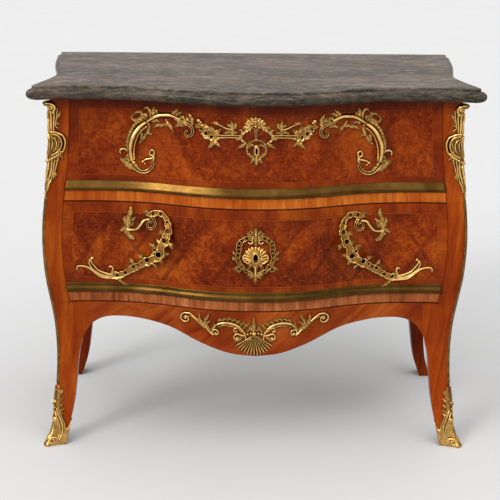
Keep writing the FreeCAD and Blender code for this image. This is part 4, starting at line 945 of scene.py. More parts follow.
class Casting:
    """One mount: collects strips, beads and fans, then becomes a single mesh."""

    def __init__(self, surface=on_front, press=1.0):
        self.wrap_on = surface
        self.side, self.press = 1, press
        self.points, self.faces, self.relief = [], [], []
        self.count = 0

    def surface(self, x, z, out):
        """The casting's surface; on its mirrored side the relief may be lower."""
        return self.wrap_on(self.side * x, z, out * (1.0 if self.side > 0 else self.press))

    def add(self, points, faces, relief):
        self.points.append(points)
        self.faces += [tuple(i + self.count for i in face) for face in faces]
        self.relief.append(relief)
        self.count += len(points)

    def strip(self, path, width, height, section=ROUND, lift=0.0, lobes=0, depth=0.4, step=1.6,
              slant=0.0):
        """A raised strip. Width is half the full one. Lobes scallop its edges like a leaf's."""
        line = curve(path, step)
        t = np.linspace(0, 1, len(line))
        ahead = np.gradient(line, axis=0)
        ahead /= np.linalg.norm(ahead, axis=1)[:, None] + 1e-9
        across = np.stack([-ahead[:, 1], ahead[:, 0]], 1)
        half, rise, off = along(width, t), along(height, t), along(lift, t) + STANDOFF
        u, level = np.array(section).T
        fold = np.zeros(len(t))
        if lobes:
            wave = np.abs(np.sin(np.pi * (t * lobes + 0.5))) ** 0.7
            half = half * (1 - depth * (1 - wave))
            fold = 1 - wave
        x, z = (line[:, k, None] + across[:, k, None] * half[:, None] * u
                + ahead[:, k, None] * np.abs(u) * slant for k in (0, 1))
        hollow = 1 - 0.55 * fold[:, None] * np.abs(u)
        out = off[:, None] + rise[:, None] * level * hollow
        top = self.surface(x, z, out)
        edge = [-1, 0]
        under = self.surface(x[:, edge], z[:, edge], np.repeat(off[:, None] - STANDOFF, 2, 1))
        rings = np.concatenate([top, under], 1)
        # Relief is highest on the crest and lowest at the edges and on the underside, so the finish
        # colours crests bright and edges dark: partly burnish and patina, partly painted highlight
        # and painted shade.
        burnish_and_painted_light = 0.22 + 0.78 * level * np.sqrt(level) * hollow
        relief = np.concatenate([burnish_and_painted_light, np.zeros((len(t), 2))], 1)
        count, wide = rings.shape[:2]
        faces = grid_faces(count, wide, closed=True)
        faces += [tuple(range(wide)), tuple(range(count * wide - wide, count * wide))]
        self.add(rings.reshape(-1, 3), faces, relief.reshape(-1))
        return self

    def rod(self, path, radius, lift=0.0, height=None):
        """A round rod, as high as its radius unless another height is given."""
        return self.strip(path, radius, radius if height is None else height, ROUND, lift)

    def leaf(self, path, width=5.0, height=4.0, lobes=4, lift=0.0):
        """An acanthus leaf that grows wide and tapers to a curled tip."""
        shape = np.array((0.45, 0.85, 1.0, 0.95, 0.75, 0.45, 0.12)) * width
        rise = np.array((0.7, 0.9, 1.0, 1.0, 0.95, 1.0, 0.8)) * height
        return self.strip(path, shape, rise, LEAF, lift, lobes, 0.42, step=1.2, slant=2.0)

    def curl(self, x, z, radius, start, sweep, width=2.2, height=5.0, lift=0.0, tail=()):
        """A volute: the tail's points lead into a spiral round x, z. Angles are in turns."""
        t = np.linspace(0, 1, 16)
        angle = 2 * np.pi * (start + sweep * t)
        r = radius * (1 - 0.72 * t)
        spiral = np.column_stack([x + r * np.cos(angle), z + r * np.sin(angle)])
        path = np.concatenate([np.array(tail, float).reshape(-1, 2), spiral])
        widths, heights = (width, width, 0.8 * width), (height, height, height * 1.25)
        self.strip(path, widths, heights, ROUND, lift, step=1.1)
        return self.bead(x, z, radius * 0.34, height * 1.35, lift)

    def ring(self, x, z, rx, rz, width=1.8, height=4.0, lift=0.0):
        """An oval ring of round section."""
        angle = np.linspace(0, 2 * np.pi, 17)
        path = np.column_stack([x + rx * np.cos(angle), z + rz * np.sin(angle)])
        return self.strip(path, width, height, ROUND, lift, step=1.4)

    def bead(self, x, z, radius, height, lift=0.0):
        """A low dome: rows of points round it and one point on top."""
        rise = np.linspace(0, np.pi / 2, BEAD_ROWS + 1)
        turn = np.linspace(0, 2 * np.pi, BEAD_SIDES, endpoint=False)
        rx = x + radius * np.cos(rise)[:, None] * np.cos(turn)[None, :]
        rz = z + radius * np.cos(rise)[:, None] * np.sin(turn)[None, :]
        out = lift + 0.2 + height * np.sin(rise)[:, None] + 0 * rx
        points = self.surface(rx[:-1], rz[:-1], out[:-1]).reshape(-1, 3)
        tip = self.surface(np.array([x]), np.array([z]), np.array([lift + 0.2 + height]))
        faces = grid_faces(BEAD_ROWS, BEAD_SIDES, closed=True)
        faces.append(tuple(range(BEAD_SIDES - 1, -1, -1)))
        last, tip_point = (BEAD_ROWS - 1) * BEAD_SIDES, BEAD_ROWS * BEAD_SIDES
        faces += [(last + k, last + (k + 1) % BEAD_SIDES, tip_point) for k in range(BEAD_SIDES)]
        # Relief rises to the top of each bead, so its top is coloured brighter: partly burnish,
        # partly a painted highlight.
        relief = np.concatenate([np.repeat(np.sin(rise[:-1]) * 0.6 + 0.4, BEAD_SIDES), [1.0]])
        self.add(np.concatenate([points, tip]), faces, relief)
        return self

    def pierced(self, one, two, windows, rise=6.0, lift=0.0, lobes=8, ruffle=0.12):
        """A band between two edge lines. Its windows, given by place and radius, are sunk pits with
        near-black floors, painted shade for openings, and the larger ones get a rim."""
        first, second = curve(one, 1.0), curve(two, 1.0)
        apart = np.linalg.norm(first[:, None] - second[None], axis=2)
        line = curve(((first + second[apart.argmin(1)]) / 2)[::9], 0.9)
        t = np.linspace(0, 1, len(line))
        half = sum(np.linalg.norm(line[:, None] - edge[None], axis=2).min(1)
                   for edge in (first, second)) / 2
        half = half * (1 + ruffle * np.sin(2 * np.pi * lobes * t))
        ahead = np.gradient(line, axis=0)
        ahead /= np.linalg.norm(ahead, axis=1)[:, None]
        u = np.linspace(-1, 1, 25)
        level = smooth(np.array(WEB), np.abs(u))
        x = line[:, 0, None] - ahead[:, 1, None] * half[:, None] * u
        z = line[:, 1, None] + ahead[:, 0, None] * half[:, None] * u
        off = along(lift, t)[:, None] + 0 * x
        painted_shade_pits = np.any([np.hypot(x - wx, (z - wz) / 1.1) < r for wx, wz, r in windows], axis=0)
        top = grid_faces(*x.shape)
        edges = {(a, b) for face in top for a, b in zip(face, face[1:] + face[:1])}
        faces = top + [tuple(i + x.size for i in face[::-1]) for face in top]
        faces += [(b, a, a + x.size, b + x.size) for a, b in edges if (b, a) not in edges]
        crown = np.where(painted_shade_pits, off + 0.3, off + 0.6 + rise * level)
        points = [self.surface(x, z, height).reshape(-1, 3) for height in (crown, off)]
        # Points inside a window sink and get relief below 0, which the finish colours near black:
        # painted shade for the opening.
        relief = np.where(painted_shade_pits, -0.7, 0.42 + 0.55 * level**1.5).ravel()
        self.add(np.concatenate(points), faces, np.concatenate([relief, np.zeros(x.size)]))
        for wx, wz, r in windows:
            if r > 2.9:
                near = off[np.hypot(line[:, 0] - wx, line[:, 1] - wz).argmin(), 0]
                self.ring(wx, wz, r + 0.7, 1.1 * r + 0.7, 1.2, 0.95 * rise, near)
        return self

    def sheet(self, rows, rise):
        """A low ground under open ornament. Rows are height, lowest and highest place across."""
        rows = np.array(rows, float)
        low, high = rows[0, 0], rows[-1, 0]
        z = np.linspace(low, high, int(abs(high - low) / 3))
        order = rows[np.argsort(rows[:, 0])]
        left, right = smooth(order, z, 1), smooth(order, z, 2)
        u = np.linspace(-1, 1, 19)
        x = (left + right)[:, None] / 2 + (right - left)[:, None] / 2 * u
        height = np.repeat(z[:, None], len(u), 1)
        end = np.minimum(np.arange(len(z)), np.arange(len(z))[::-1])[:, None]
        out = 0.1 + rise * (1 - np.abs(u) ** 6)[None, :] * np.minimum(end, 1)
        points = self.surface(x, height, out).reshape(-1, 3)
        self.add(points, grid_faces(len(z), len(u)), np.full(x.size, 0.4))
        return self

    def take(self, mesh):
        """Adds a mesh that is already in its place."""
        points = np.empty(len(mesh.vertices) * 3)
        mesh.vertices.foreach_get("co", points)
        faces = [tuple(face.vertices) for face in mesh.polygons]
        self.add(points.reshape(-1, 3), faces, np.full(len(mesh.vertices), 0.85))
        return self

    def piece(self, name, body, node, flip=False):
        points = np.concatenate(self.points)
        made = new_piece(name, flipped(points) if flip else points, self.faces,
                         {"relief": np.concatenate(self.relief)})
        made.data.materials.append(gilt)
        return place(made, body, "gilt_bronze", node)


print("casting tools ready")

# %% [markdown]
# Rows of beads repeat one small shape along a line, which is what Geometry Nodes does well: the
# line becomes a curve, is divided at an even spacing, and each point gets a bead of slightly
# uneven size. The tree ends in plain mesh, so that the beads can be cast in one piece with their
# mount.


# %% A string of beads by Geometry Nodes
def bead_tree():
    tree = bpy.data.node_groups.new("string_of_beads", "GeometryNodeTree")
    face = tree.interface
    face.new_socket("Line", in_out="INPUT", socket_type="NodeSocketGeometry")
    face.new_socket("Spacing", in_out="INPUT", socket_type="NodeSocketFloat")
    face.new_socket("Bead radius", in_out="INPUT", socket_type="NodeSocketFloat")
    face.new_socket("Metal", in_out="INPUT", socket_type="NodeSocketMaterial")
    face.new_socket("Beads", in_out="OUTPUT", socket_type="NodeSocketGeometry")
    nodes, links = tree.nodes, tree.links
    start, end = nodes.new("NodeGroupInput"), nodes.new("NodeGroupOutput")
    line = nodes.new("GeometryNodeMeshToCurve")
    even = nodes.new("GeometryNodeResampleCurve")
    even.mode = "LENGTH"
    ball = nodes.new("GeometryNodeMeshIcoSphere")
    ball.inputs["Subdivisions"].default_value = 2
    uneven = nodes.new("FunctionNodeRandomValue")
    uneven.data_type = "FLOAT"
    uneven.inputs[2].default_value, uneven.inputs[3].default_value = 0.85, 1.12
    uneven.inputs["Seed"].default_value = 7
    beads = nodes.new("GeometryNodeInstanceOnPoints")
    solid = nodes.new("GeometryNodeRealizeInstances")
    metal = nodes.new("GeometryNodeSetMaterial")
    links.new(start.outputs["Line"], line.inputs["Mesh"])
    links.new(line.outputs["Curve"], even.inputs["Curve"])
    links.new(start.outputs["Spacing"], even.inputs["Length"])
    links.new(start.outputs["Bead radius"], ball.inputs["Radius"])
    links.new(even.outputs["Curve"], beads.inputs["Points"])
    links.new(ball.outputs["Mesh"], beads.inputs["Instance"])
    links.new(uneven.outputs[1], beads.inputs["Scale"])
    links.new(beads.outputs["Instances"], solid.inputs["Geometry"])
    links.new(solid.outputs["Geometry"], metal.inputs["Geometry"])
    links.new(start.outputs["Metal"], metal.inputs["Material"])
    links.new(metal.outputs["Geometry"], end.inputs["Beads"])
    return tree


BEAD_TREE = bead_tree()
SOCKETS = {item.name: item.identifier for item in BEAD_TREE.interface.items_tree
           if item.in_out == "INPUT"}


def beads_on(casting, path, spacing, radius, out):
    """Beads along a path on the casting's surface; sizes in millimetres."""
    line = curve(path, 1.0)
    places = casting.surface(line[:, 0], line[:, 1], np.full(len(line), float(out)))
    mesh = bpy.data.meshes.new("bead line")
    mesh.from_pydata([tuple(p) for p in places], [(i, i + 1) for i in range(len(places) - 1)], [])
    holder = bpy.data.objects.new("bead line", mesh)
    bpy.context.scene.collection.objects.link(holder)
    beads = holder.modifiers.new("beads", "NODES")
    beads.node_group = BEAD_TREE
    beads[SOCKETS["Spacing"]] = spacing * MM
    beads[SOCKETS["Bead radius"]] = radius * MM
    beads[SOCKETS["Metal"]] = gilt
    view = bpy.context.evaluated_depsgraph_get()
    result = bpy.data.meshes.new_from_object(holder.evaluated_get(view))
    casting.take(result)
    bpy.data.objects.remove(holder)
    bpy.data.meshes.remove(result)
    return casting


print("bead tree sockets:", list(SOCKETS))

# %% [markdown]
# ## Pulls of the lower drawer
# A long S-band pierced with oval windows leaves a volute at the top, steps down in leafy corners,
# and runs out into three smooth tendrils. A twig with a spray of leaves grows from the volute.
# The band stands away from the wood in its middle, so that fingers find room behind it.

# %% Lower pulls
LOWER_LIFT = (0, 0, 1, 6, 12, 17, 17, 17, 15, 11, 6, 3, 0)
outer_rail = [(-250, 580), (-246, 585), (-236, 590), (-224, 592), (-215, 589), (-208, 582),
              (-201, 574), (-196, 563), (-194, 552), (-194, 541), (-199, 532), (-199, 520),
              (-205, 512), (-212, 505), (-213, 497), (-210, 489), (-216, 482), (-221, 472),
              (-229, 472), (-235, 470), (-240, 464), (-251, 460), (-266, 451), (-280, 442),
              (-295, 432), (-310, 422), (-324, 415), (-341, 415)]
inner_rail = [(-248, 572), (-241, 571), (-234, 574), (-227, 578), (-220, 575), (-213, 571),
              (-212, 560), (-210, 552), (-213, 544), (-220, 539), (-219, 529), (-227, 521),
              (-228, 511), (-234, 507), (-242, 507), (-243, 500), (-245, 493), (-246, 484),
              (-258, 483), (-267, 477), (-272, 468), (-281, 462), (-290, 463), (-297, 455),
              (-302, 447), (-316, 437), (-331, 435), (-345, 431)]
windows = ((-239, 581, 2.8), (-221, 582, 2.8), (-205, 566, 3.4), (-204, 546, 5.2), (-212, 524, 5.8),
           (-235, 500, 3.4), (-226, 489, 6.2), (-253, 473, 5.2), (-267, 464, 2.2), (-286, 452, 4.0),
           (-276, 457, 2.6), (-306, 434, 4.4), (-326, 426, 4.0))
pull = Casting()
pull.pierced(outer_rail, inner_rail, windows, 6.0, LOWER_LIFT, 19)
for path, lift in (([(-230, 502), (-238, 508), (-245, 513)], 15),
                   ([(-216, 494), (-209, 491), (-202, 491)], 14),
                   ([(-226, 481), (-222, 474), (-217, 467)], 14),
                   ([(-211, 541), (-218, 541), (-226, 537)], 9),
                   ([(-262, 472), (-267, 478), (-273, 481)], 11),
                   ([(-284, 458), (-290, 464), (-293, 471)], 8),
                   ([(-203, 520), (-197, 514), (-194, 506)], 15),
                   ([(-216, 514), (-223, 518), (-229, 524)], 15)):
    pull.leaf(path, 6.2, 6.5, 2, lift)
pull.strip([(-232, 453), (-235, 459), (-246, 463), (-256, 459), (-273, 448), (-295, 435),
            (-318, 421), (-340, 416)],
           (1.8, 2.6, 2.6, 2.4, 2.4, 2.6, 2.8, 3), 6, ROUND, (8, 9, 10, 9, 7, 4, 2, 0))
pull.rod([(-337, 424), (-357, 430), (-371, 437), (-380, 448), (-387, 458), (-387, 466),
          (-381, 466)],
         (3.4, 3, 2.8, 2.6, 2.4), 0, 4.5)
pull.rod([(-338, 419), (-360, 423), (-376, 432), (-387, 443), (-392, 455), (-390, 464)],
         (3.2, 3, 2.6, 2), 0, 4)
pull.rod([(-333, 416), (-360, 418), (-374, 426), (-385, 436), (-397, 444), (-411, 447), (-420, 445),
          (-421, 438)],
         (3.4, 3.2, 3, 2.8, 2.6, 2.2), 0, 4)
pull.bead(-384, 467, 4.2, 5).bead(-421, 439, 3.4, 4)
pull.rod([(-346, 422), (-339, 431), (-336, 440), (-340, 446), (-345, 444)], (3.2, 2.6, 2.2), 0)
pull.leaf([(-326, 420), (-320, 411), (-310, 403), (-303, 400)], 5, 4, 3)
pull.leaf([(-330, 424), (-345, 424), (-358, 426)], 5.5, 5, 3)
pull.strip([(-240, 574), (-236, 567), (-233, 560), (-235, 552), (-241, 546), (-248, 547),
            (-252, 552), (-251, 560), (-245, 563), (-241, 559)],
           (3.8, 3.8, 3.6, 3.4, 3.4, 3.2, 3, 2.6, 2.2), 7.5, GROOVED)
pull.leaf([(-244, 572), (-252, 578), (-256, 574)], 5, 6, 2)
pull.leaf([(-247, 579), (-254, 585), (-261, 582)], 4.2, 6, 2)
pull.strip([(-246, 568), (-255, 568), (-261, 565), (-267, 557), (-274, 548), (-281, 543),
            (-290, 541), (-302, 540)],
           (3.0, 3.6, 4.0, 4.4, 4.2, 3.8, 3.6, 3.0), 7, ROUND, (2, 6, 9, 10, 9, 6, 3, 1))
pull.strip([(-298, 541), (-299, 553), (-297, 565), (-294, 576), (-290, 586), (-292, 593)],
           (3.6, 8.0, 9.6, 8.4, 5.8, 6.8, 5.6, 2.0), (5, 8, 8, 7, 6, 7, 6, 4), LEAF, 1, 4, 0.22)
pull.leaf([(-294, 560), (-287, 564), (-281, 569)], 5, 7, 2)
pull.leaf([(-296, 548), (-289, 552), (-285, 558)], 4.6, 6, 2)
pull.leaf([(-300, 556), (-306, 562), (-306, 570)], 4.6, 6, 2)
pull.strip([(-297, 540), (-305, 543), (-311, 539), (-315, 536)], (3.4, 5.4, 5.4, 3.6),
           6.5, LEAF, 1, 3, 0.25)
pull.strip([(-298, 538), (-297, 529), (-291, 521), (-283, 519)], (3.6, 5.8, 6.6, 6.2, 3.4),
           6.5, LEAF, 1, 3, 0.2)
pull.leaf([(-300, 540), (-304, 532), (-301, 527)], 4.2, 6, 2)
pull.bead(-299, 541, 4.4, 8.5)
pull.bead(-285, 518, 3.4, 5.5)
pull.piece("gilt_lower_left_pull", "lower_drawer", "lower_left_pull")
pull.piece("gilt_lower_right_pull", "lower_drawer", "lower_right_pull", flip=True)
print("lower pulls:", pull.count, "points each")

# %% [markdown]
# ## Pulls of the upper drawer
# Here the grip is a bold C-scroll with a smooth, burnished back. A string of beads follows its
# hollow side, flame-like drops its outside. Its foot turns up into a hook with an eye, its head
# ends in a small hanging scroll, and leaves break out where the parts meet.

# %% Upper pulls
bow = [(-253, 794), (-262, 789), (-271, 781), (-279, 770), (-285, 758), (-289, 743), (-290, 728),
       (-289, 714), (-287, 702)]
pull = Casting()
pull.strip(bow, (4.4, 5.6, 6.0, 6.2, 6.2, 6.0, 5.6, 5.2), (6, 9, 9.5, 9.5, 9, 8, 5),
           ROUND, (4, 9, 14, 17, 15, 9, 3))
pull.strip([(-252, 795), (-243, 802), (-232, 809), (-220, 813), (-209, 814), (-197, 814),
            (-186, 810), (-174, 805)],
           (3.0, 4.8, 5.4, 5.4, 5.2, 4.6, 4.0), (6, 9, 10, 9.5, 9, 8, 6), ROUND, (3, 3, 2, 1, 0, 0))
beads_on(pull, [(-252, 785), (-262, 777), (-271, 766), (-277, 752), (-281, 737), (-282, 722),
                (-281, 708)], 3.4, 2.3, 12)
pull.strip([(-263, 798), (-274, 793), (-281, 786), (-287, 777), (-292, 765), (-296, 752),
            (-297, 738), (-296, 724)],
           (2.6, 4.2, 4.0, 4.2, 4.0, 4.0, 3.6, 2.4), 7, LEAF, (2, 8, 12, 13, 11, 7),
           11, 0.62, slant=-1.5)
pull.strip([(-287, 698), (-281, 688), (-274, 682), (-264, 678), (-252, 680), (-243, 687),
            (-238, 696), (-238, 706)],
           (5.4, 5.4, 5.0, 4.8, 4.4, 4, 3.4, 3), (6, 6, 6, 5.5, 5, 5, 4), GROOVED, (3, 1, 0, 0))
pull.leaf([(-287, 706), (-280, 694), (-270, 687)], 4.6, 8, 3, 1)
pull.rod([(-261, 702), (-256, 707), (-248, 709), (-240, 711), (-236, 715)], (3.2, 2.8, 3.2, 3.6),
         0, 6)
pull.rod([(-238, 704), (-236, 711), (-237, 717)], 3.2, 0, 6)
pull.ring(-240, 724, 5.6, 6.6, 2.8, 7).bead(-262, 702, 4.8, 6).bead(-257, 697, 3.0, 4)
pull.strip([(-281, 684), (-290, 687), (-299, 694), (-306, 701), (-314, 705)], (5, 8, 8.4, 6.4, 4),
           6.5, LEAF, 0, 4, 0.22)
pull.leaf([(-286, 700), (-295, 705), (-305, 706)], 5.4, 7, 3)
pull.leaf([(-287, 716), (-296, 714), (-302, 710)], 4.4, 5, 2)
pull.strip([(-289, 718), (-296, 724), (-303, 729), (-310, 729), (-315, 724), (-313, 718)],
           (3.2, 3.2, 3, 3, 2.8, 2.2), 5.5, ROUND)
for path, wide in (([(-262, 797), (-272, 797), (-281, 797), (-286, 804), (-281, 811)], 4.4),
                   ([(-258, 811), (-266, 816), (-276, 815), (-281, 810)], 3.6),
                   ([(-245, 804), (-243, 815), (-247, 825), (-254, 827), (-258, 821)], 4.2),
                   ([(-240, 805), (-236, 815), (-236, 825), (-232, 831)], 4.6),
                   ([(-231, 811), (-228, 818), (-231, 824)], 3.8),
                   ([(-252, 800), (-262, 804), (-272, 802)], 5.0),
                   ([(-258, 793), (-268, 800), (-277, 794)], 4.4),
                   ([(-250, 803), (-254, 811), (-262, 809)], 4.4),
                   ([(-256, 806), (-263, 812), (-263, 821)], 3.6)):
    pull.leaf(path, wide, 5.5, 3, 2)
pull.leaf([(-244, 800), (-237, 797), (-230, 799), (-222, 796)], 4.4, 5, 3)
for path, wide in (([(-250, 794), (-246, 783), (-250, 771), (-256, 762), (-261, 751), (-269, 746)],
                    4.4),
                   ([(-252, 771), (-246, 768), (-240, 765)], 4.0),
                   ([(-268, 774), (-264, 765), (-265, 750)], 4.4),
                   ([(-207, 793), (-216, 789), (-226, 788), (-237, 781)], 5.2),
                   ([(-208, 804), (-202, 793), (-196, 785), (-189, 775)], 4.6),
                   ([(-210, 788), (-201, 792), (-191, 786)], 4.4),
                   ([(-186, 788), (-176, 793), (-165, 790)], 5.0),
                   ([(-197, 812), (-188, 820), (-178, 829)], 4.8),
                   ([(-188, 811), (-178, 819), (-170, 822)], 4.8),
                   ([(-179, 806), (-169, 811), (-163, 805)], 4.6),
                   ([(-172, 800), (-160, 805), (-150, 802)], 5.0),
                   ([(-181, 803), (-170, 799), (-160, 796)], 5.0),
                   ([(-190, 810), (-180, 803), (-176, 796)], 4.2)):
    pull.leaf(path, wide, 5.5, 3)
pull.strip([(-166, 799), (-156, 796), (-148, 790), (-145, 781), (-149, 773), (-156, 769),
            (-162, 773), (-161, 780), (-156, 782)], (3.6, 3.8, 3.6, 3.4, 3.4, 3.2, 2.8, 2.2),
           6.5, GROOVED)
pull.leaf([(-152, 789), (-147, 799), (-148, 811), (-155, 821)], 5.2, 6, 4)
pull.leaf([(-150, 800), (-158, 808), (-158, 814)], 3.8, 5, 2)
pull.bead(-147, 803, 3.8, 7).bead(-251, 768, 3.6, 6).bead(-268, 746, 3.0, 5).bead(-153, 812, 2.8, 6)
pull.piece("gilt_upper_left_pull", "upper_drawer", "upper_left_pull")
pull.piece("gilt_upper_right_pull", "upper_drawer", "upper_right_pull", flip=True)
print("upper pulls:", pull.count, "points each")

# %% [markdown]
# ## Garlands
# A leafy stem runs from the upper cartouche towards each pull. It starts as a plain reed, breaks
# into acanthus, drops a leaf below the line and ends in a fat bud.

# %% Garlands
branch = Casting()
branch.strip([(-32, 774), (-47, 774), (-61, 774), (-74, 773), (-90, 773)],
             (3.6, 4.2, 4.4, 4.6, 5.4), 5.5, GROOVED)
branch.pierced([(-134, 804), (-130, 799), (-122, 797), (-113, 794), (-105, 789), (-97, 785),
                (-89, 785), (-80, 785)],
               [(-137, 792), (-131, 784), (-127, 777), (-120, 770), (-112, 765), (-104, 759),
                (-97, 757), (-85, 763)],
               ((-125, 788, 2.4), (-115, 779, 4.2), (-103, 771, 3.6), (-93, 773, 2.4)),
               5.5, 0, 6, 0.3)
for path, wide in (([(-126, 798), (-116, 795), (-106, 787)], 5.2),
                   ([(-124, 776), (-114, 768), (-104, 764)], 4.6),
                   ([(-112, 792), (-102, 790), (-94, 784)], 4.6),
                   ([(-98, 763), (-101, 754), (-110, 744)], 6.0),
                   ([(-98, 763), (-91, 756), (-82, 749)], 5.6),
                   ([(-94, 767), (-91, 779), (-82, 789)], 5.6),
                   ([(-82, 797), (-92, 803), (-103, 803)], 4.6),
                   ([(-55, 775), (-56, 788), (-55, 798), (-58, 810)], 5.4),
                   ([(-56, 793), (-63, 799), (-68, 796)], 4.2),
                   ([(-55, 791), (-48, 796), (-49, 804)], 4.4),
                   ([(-57, 780), (-64, 783), (-74, 779)], 4.4),
                   ([(-54, 779), (-49, 783), (-44, 780)], 3.8)):
    branch.leaf(path, wide, 6, 3)
branch.rod([(-97, 802), (-90, 801), (-80, 797), (-70, 792), (-58, 789)], (2.2, 2.2, 2.6, 2.4),
           0, 4.5)
branch.bead(-132, 807, 5.8, 7).bead(-127, 803, 4, 6).bead(-56, 790, 3.4, 7).bead(-91, 780, 3.2, 7)
branch.piece("gilt_left_garland", "upper_drawer", "left_garland")
branch.piece("gilt_right_garland", "upper_drawer", "right_garland", flip=True)
print("garlands:", branch.count, "points each")

# %% [markdown]
# ## Keyhole mounts
# Both keyholes sit in a cartouche. The upper one hangs from a small shell set with beads and
# leaves, the lower one is a broad pierced frame round an open shell. Each part of the left half is
# drawn twice, as it is written and mirrored.


# %% Cartouches
class Mirrored:
    """Draws each part twice: as it is written, and mirrored about the middle."""

    def __init__(self, casting):
        self.casting = casting

    def __getattr__(self, name):
        def both(*values, **more):
            for side in (1, -1):
                self.casting.side = side
                getattr(self.casting, name)(*values, **more)
            self.casting.side = 1
            return self
        return both


def keyhole_boss(casting, keyhole, wide, high, rise):
    """A hollow-cheeked boss with a raised rim round a keyhole, left open."""
    z, half_width, half_height = (1000 * value for value in keyhole)
    angle = np.linspace(0, 2 * np.pi, BOSS_POINTS)
    hole_x = half_width * (1 - KEYHOLE_TAPER * np.sin(angle))
    points, relief = [], []
    # The two last rows line the keyhole's mouth. Their relief below 0 colours them near black,
    # painted shade for the hole.
    for share, out, level in ((1.0, 0.0, 0.0), (1.0, 0.45, 0.3), (0.86, 0.8, 0.9),
                              (0.66, 0.72, 0.5), (0.45, 0.95, 0.9), (0.2, 1.0, 1.0),
                              (0.0, 0.9, -0.6), (0.0, 0.0, -0.8)):
        x = (hole_x + (wide - hole_x) * share) * np.cos(angle)
        up = (half_height + (high - half_height) * share) * np.sin(angle)
        points.append(casting.surface(x, z + up, np.full(BOSS_POINTS, 0.2 + rise * out)))
        relief.append(np.full(BOSS_POINTS, level))
    last = (len(points) - 1) * BOSS_POINTS
    faces = grid_faces(len(points), BOSS_POINTS)
    faces += [(last + k, last + k + 1, k + 1, k) for k in range(BOSS_POINTS - 1)]
    casting.add(np.concatenate(points), faces, np.concatenate(relief))


def scallop(casting, x, z, radius, first, last, ribs, rise, valley=0.1, hub=0.0):
    """A fan of ribs between two angles in degrees. Hub is the share of the radius left open."""
    turn = np.radians(np.linspace(first, last, ribs * 6 + 1))
    wave = 0.5 - 0.5 * np.cos(np.linspace(0, 2 * np.pi * ribs, ribs * 6 + 1))
    share = hub + (1 - hub) * np.array((0.0, 0.12, 0.3, 0.5, 0.7, 0.86, 0.96, 1.0))
    dome = np.array((0.55, 0.9, 1.0, 0.95, 0.8, 0.62, 0.5, 0.0))
    reach = radius * (0.9 + 0.1 * wave)
    rx = x + share[:, None] * reach * np.cos(turn)
    rz = z + share[:, None] * reach * np.sin(turn)
    out = 0.3 + rise * dome[:, None] * (0.45 + 0.55 * (wave * np.minimum(share * 5, 1)[:, None]))
    out[-1] = 0.0
    points = casting.surface(rx, rz, out)
    # Valleys between the ribs get low relief, so the finish colours them darker: partly patina,
    # partly painted shade.
    relief = valley + (1 - valley) * wave[None, :] * np.ones((len(share), 1))
    casting.add(points.reshape(-1, 3), grid_faces(len(share), len(turn)), relief.reshape(-1))


crest = Casting()
both = Mirrored(crest)
keyhole_boss(crest, KEYHOLES["upper"], 7.0, 14, 4.5)
both.strip([(0, 766), (-12, 763), (-20, 755), (-22, 744), (-19, 733), (-11, 727), (0, 724)],
           (1.8, 2.4, 3.4, 2.4, 3.2, 2.4, 3.2), 5.5, LEAF, 0, 9, 0.45)
for path, wide in (([(-5, 752), (-12, 755), (-19, 748)], 3.8),
                   ([(-5, 731), (-11, 729), (-17, 735)], 3.6),
                   ([(-24, 758), (-32, 753), (-43, 747)], 5.0),
                   ([(-5, 727), (-9, 719), (-13, 713)], 5.0),
                   ([(-30, 782), (-35, 788), (-40, 787)], 3.4),
                   ([(-36, 772), (-42, 767), (-46, 769)], 3.4),
                   ([(-16, 790), (-25, 795), (-31, 791)], 4.6)):
    both.leaf(path, wide, 5.5, 3)
both.strip([(-14, 792), (-26, 786), (-35, 778), (-37, 771), (-31, 764), (-24, 758)],
           (3.0, 3.4, 3.4, 2.8, 2.6, 3.2), 5.5, RIBBON, 0, 5, 0.3)
crest.strip([(-2, 793), (-2, 781), (-1, 765)], (4.4, 3.2, 2.8, 3.6), 6, GROOVED)
crest.leaf([(0, 728), (0, 718), (0, 707)], 5.4, 6, 3).bead(0, 727, 3.6, 7).bead(-2, 768, 3.4, 7.5)
scallop(crest, -3, 793, 28, -4, 184, 9, 6, 0.35, 0.15)
for turn in range(7):
    angle = math.pi * (0.05 + 0.15 * turn)
    dx, dz = math.cos(angle), math.sin(angle)
    crest.leaf([(12 * dx - 3, 794 + 11 * dz), (19 * dx - 3, 794 + 18 * dz),
                (24 * dx - 3, 794 + 25 * dz)], 6.4, 5.5, 3)
for x, z, r in ((-3, 809, 4.2), (6, 805, 3.8), (-12, 805, 4.0), (-3, 798, 4.4), (-17, 798, 3.6),
                (13, 798, 3.8), (5, 796, 4.0), (-11, 795, 4.0), (-7, 815, 3.0), (3, 816, 3.0)):
    crest.bead(x, z, r, 8)
crest.piece("gilt_upper_cartouche", "upper_drawer", "upper_cartouche")

frame_mount = Casting()
both = Mirrored(frame_mount)
outer_edge = [(-8, 547), (-16, 547), (-24, 545), (-33, 540), (-41, 533), (-45, 525), (-46, 516),
              (-45, 508), (-46, 501), (-48, 493), (-46, 485), (-42, 476), (-36, 468), (-28, 460),
              (-17, 454), (-5, 451)]
inner_edge = [(-8, 535), (-15, 536), (-21, 534), (-27, 530), (-31, 524), (-32, 516), (-33, 508),
              (-35, 500), (-36, 493), (-34, 486), (-30, 480), (-26, 474), (-22, 466), (-15, 461),
              (-4, 460)]
both.pierced(outer_edge, inner_edge, ((-21, 540, 2.9), (-32, 534, 2.7), (-38, 526, 2.8),
                                      (-39, 517, 2.8), (-39, 508, 2.6), (-41, 498, 2.6),
                                      (-39, 486, 2.4), (-31, 470, 2.2), (-20, 460, 2.0)),
             7, 0, 8, 0.1)
scallop(frame_mount, 0, 491, 31, -6, 186, 11, 8, 0.62, 0.3)
scallop(frame_mount, 0, 493, 27, 186, 354, 8, 7, 0.62, 0.3)
keyhole_boss(frame_mount, KEYHOLES["lower"], 12, 18, 11)
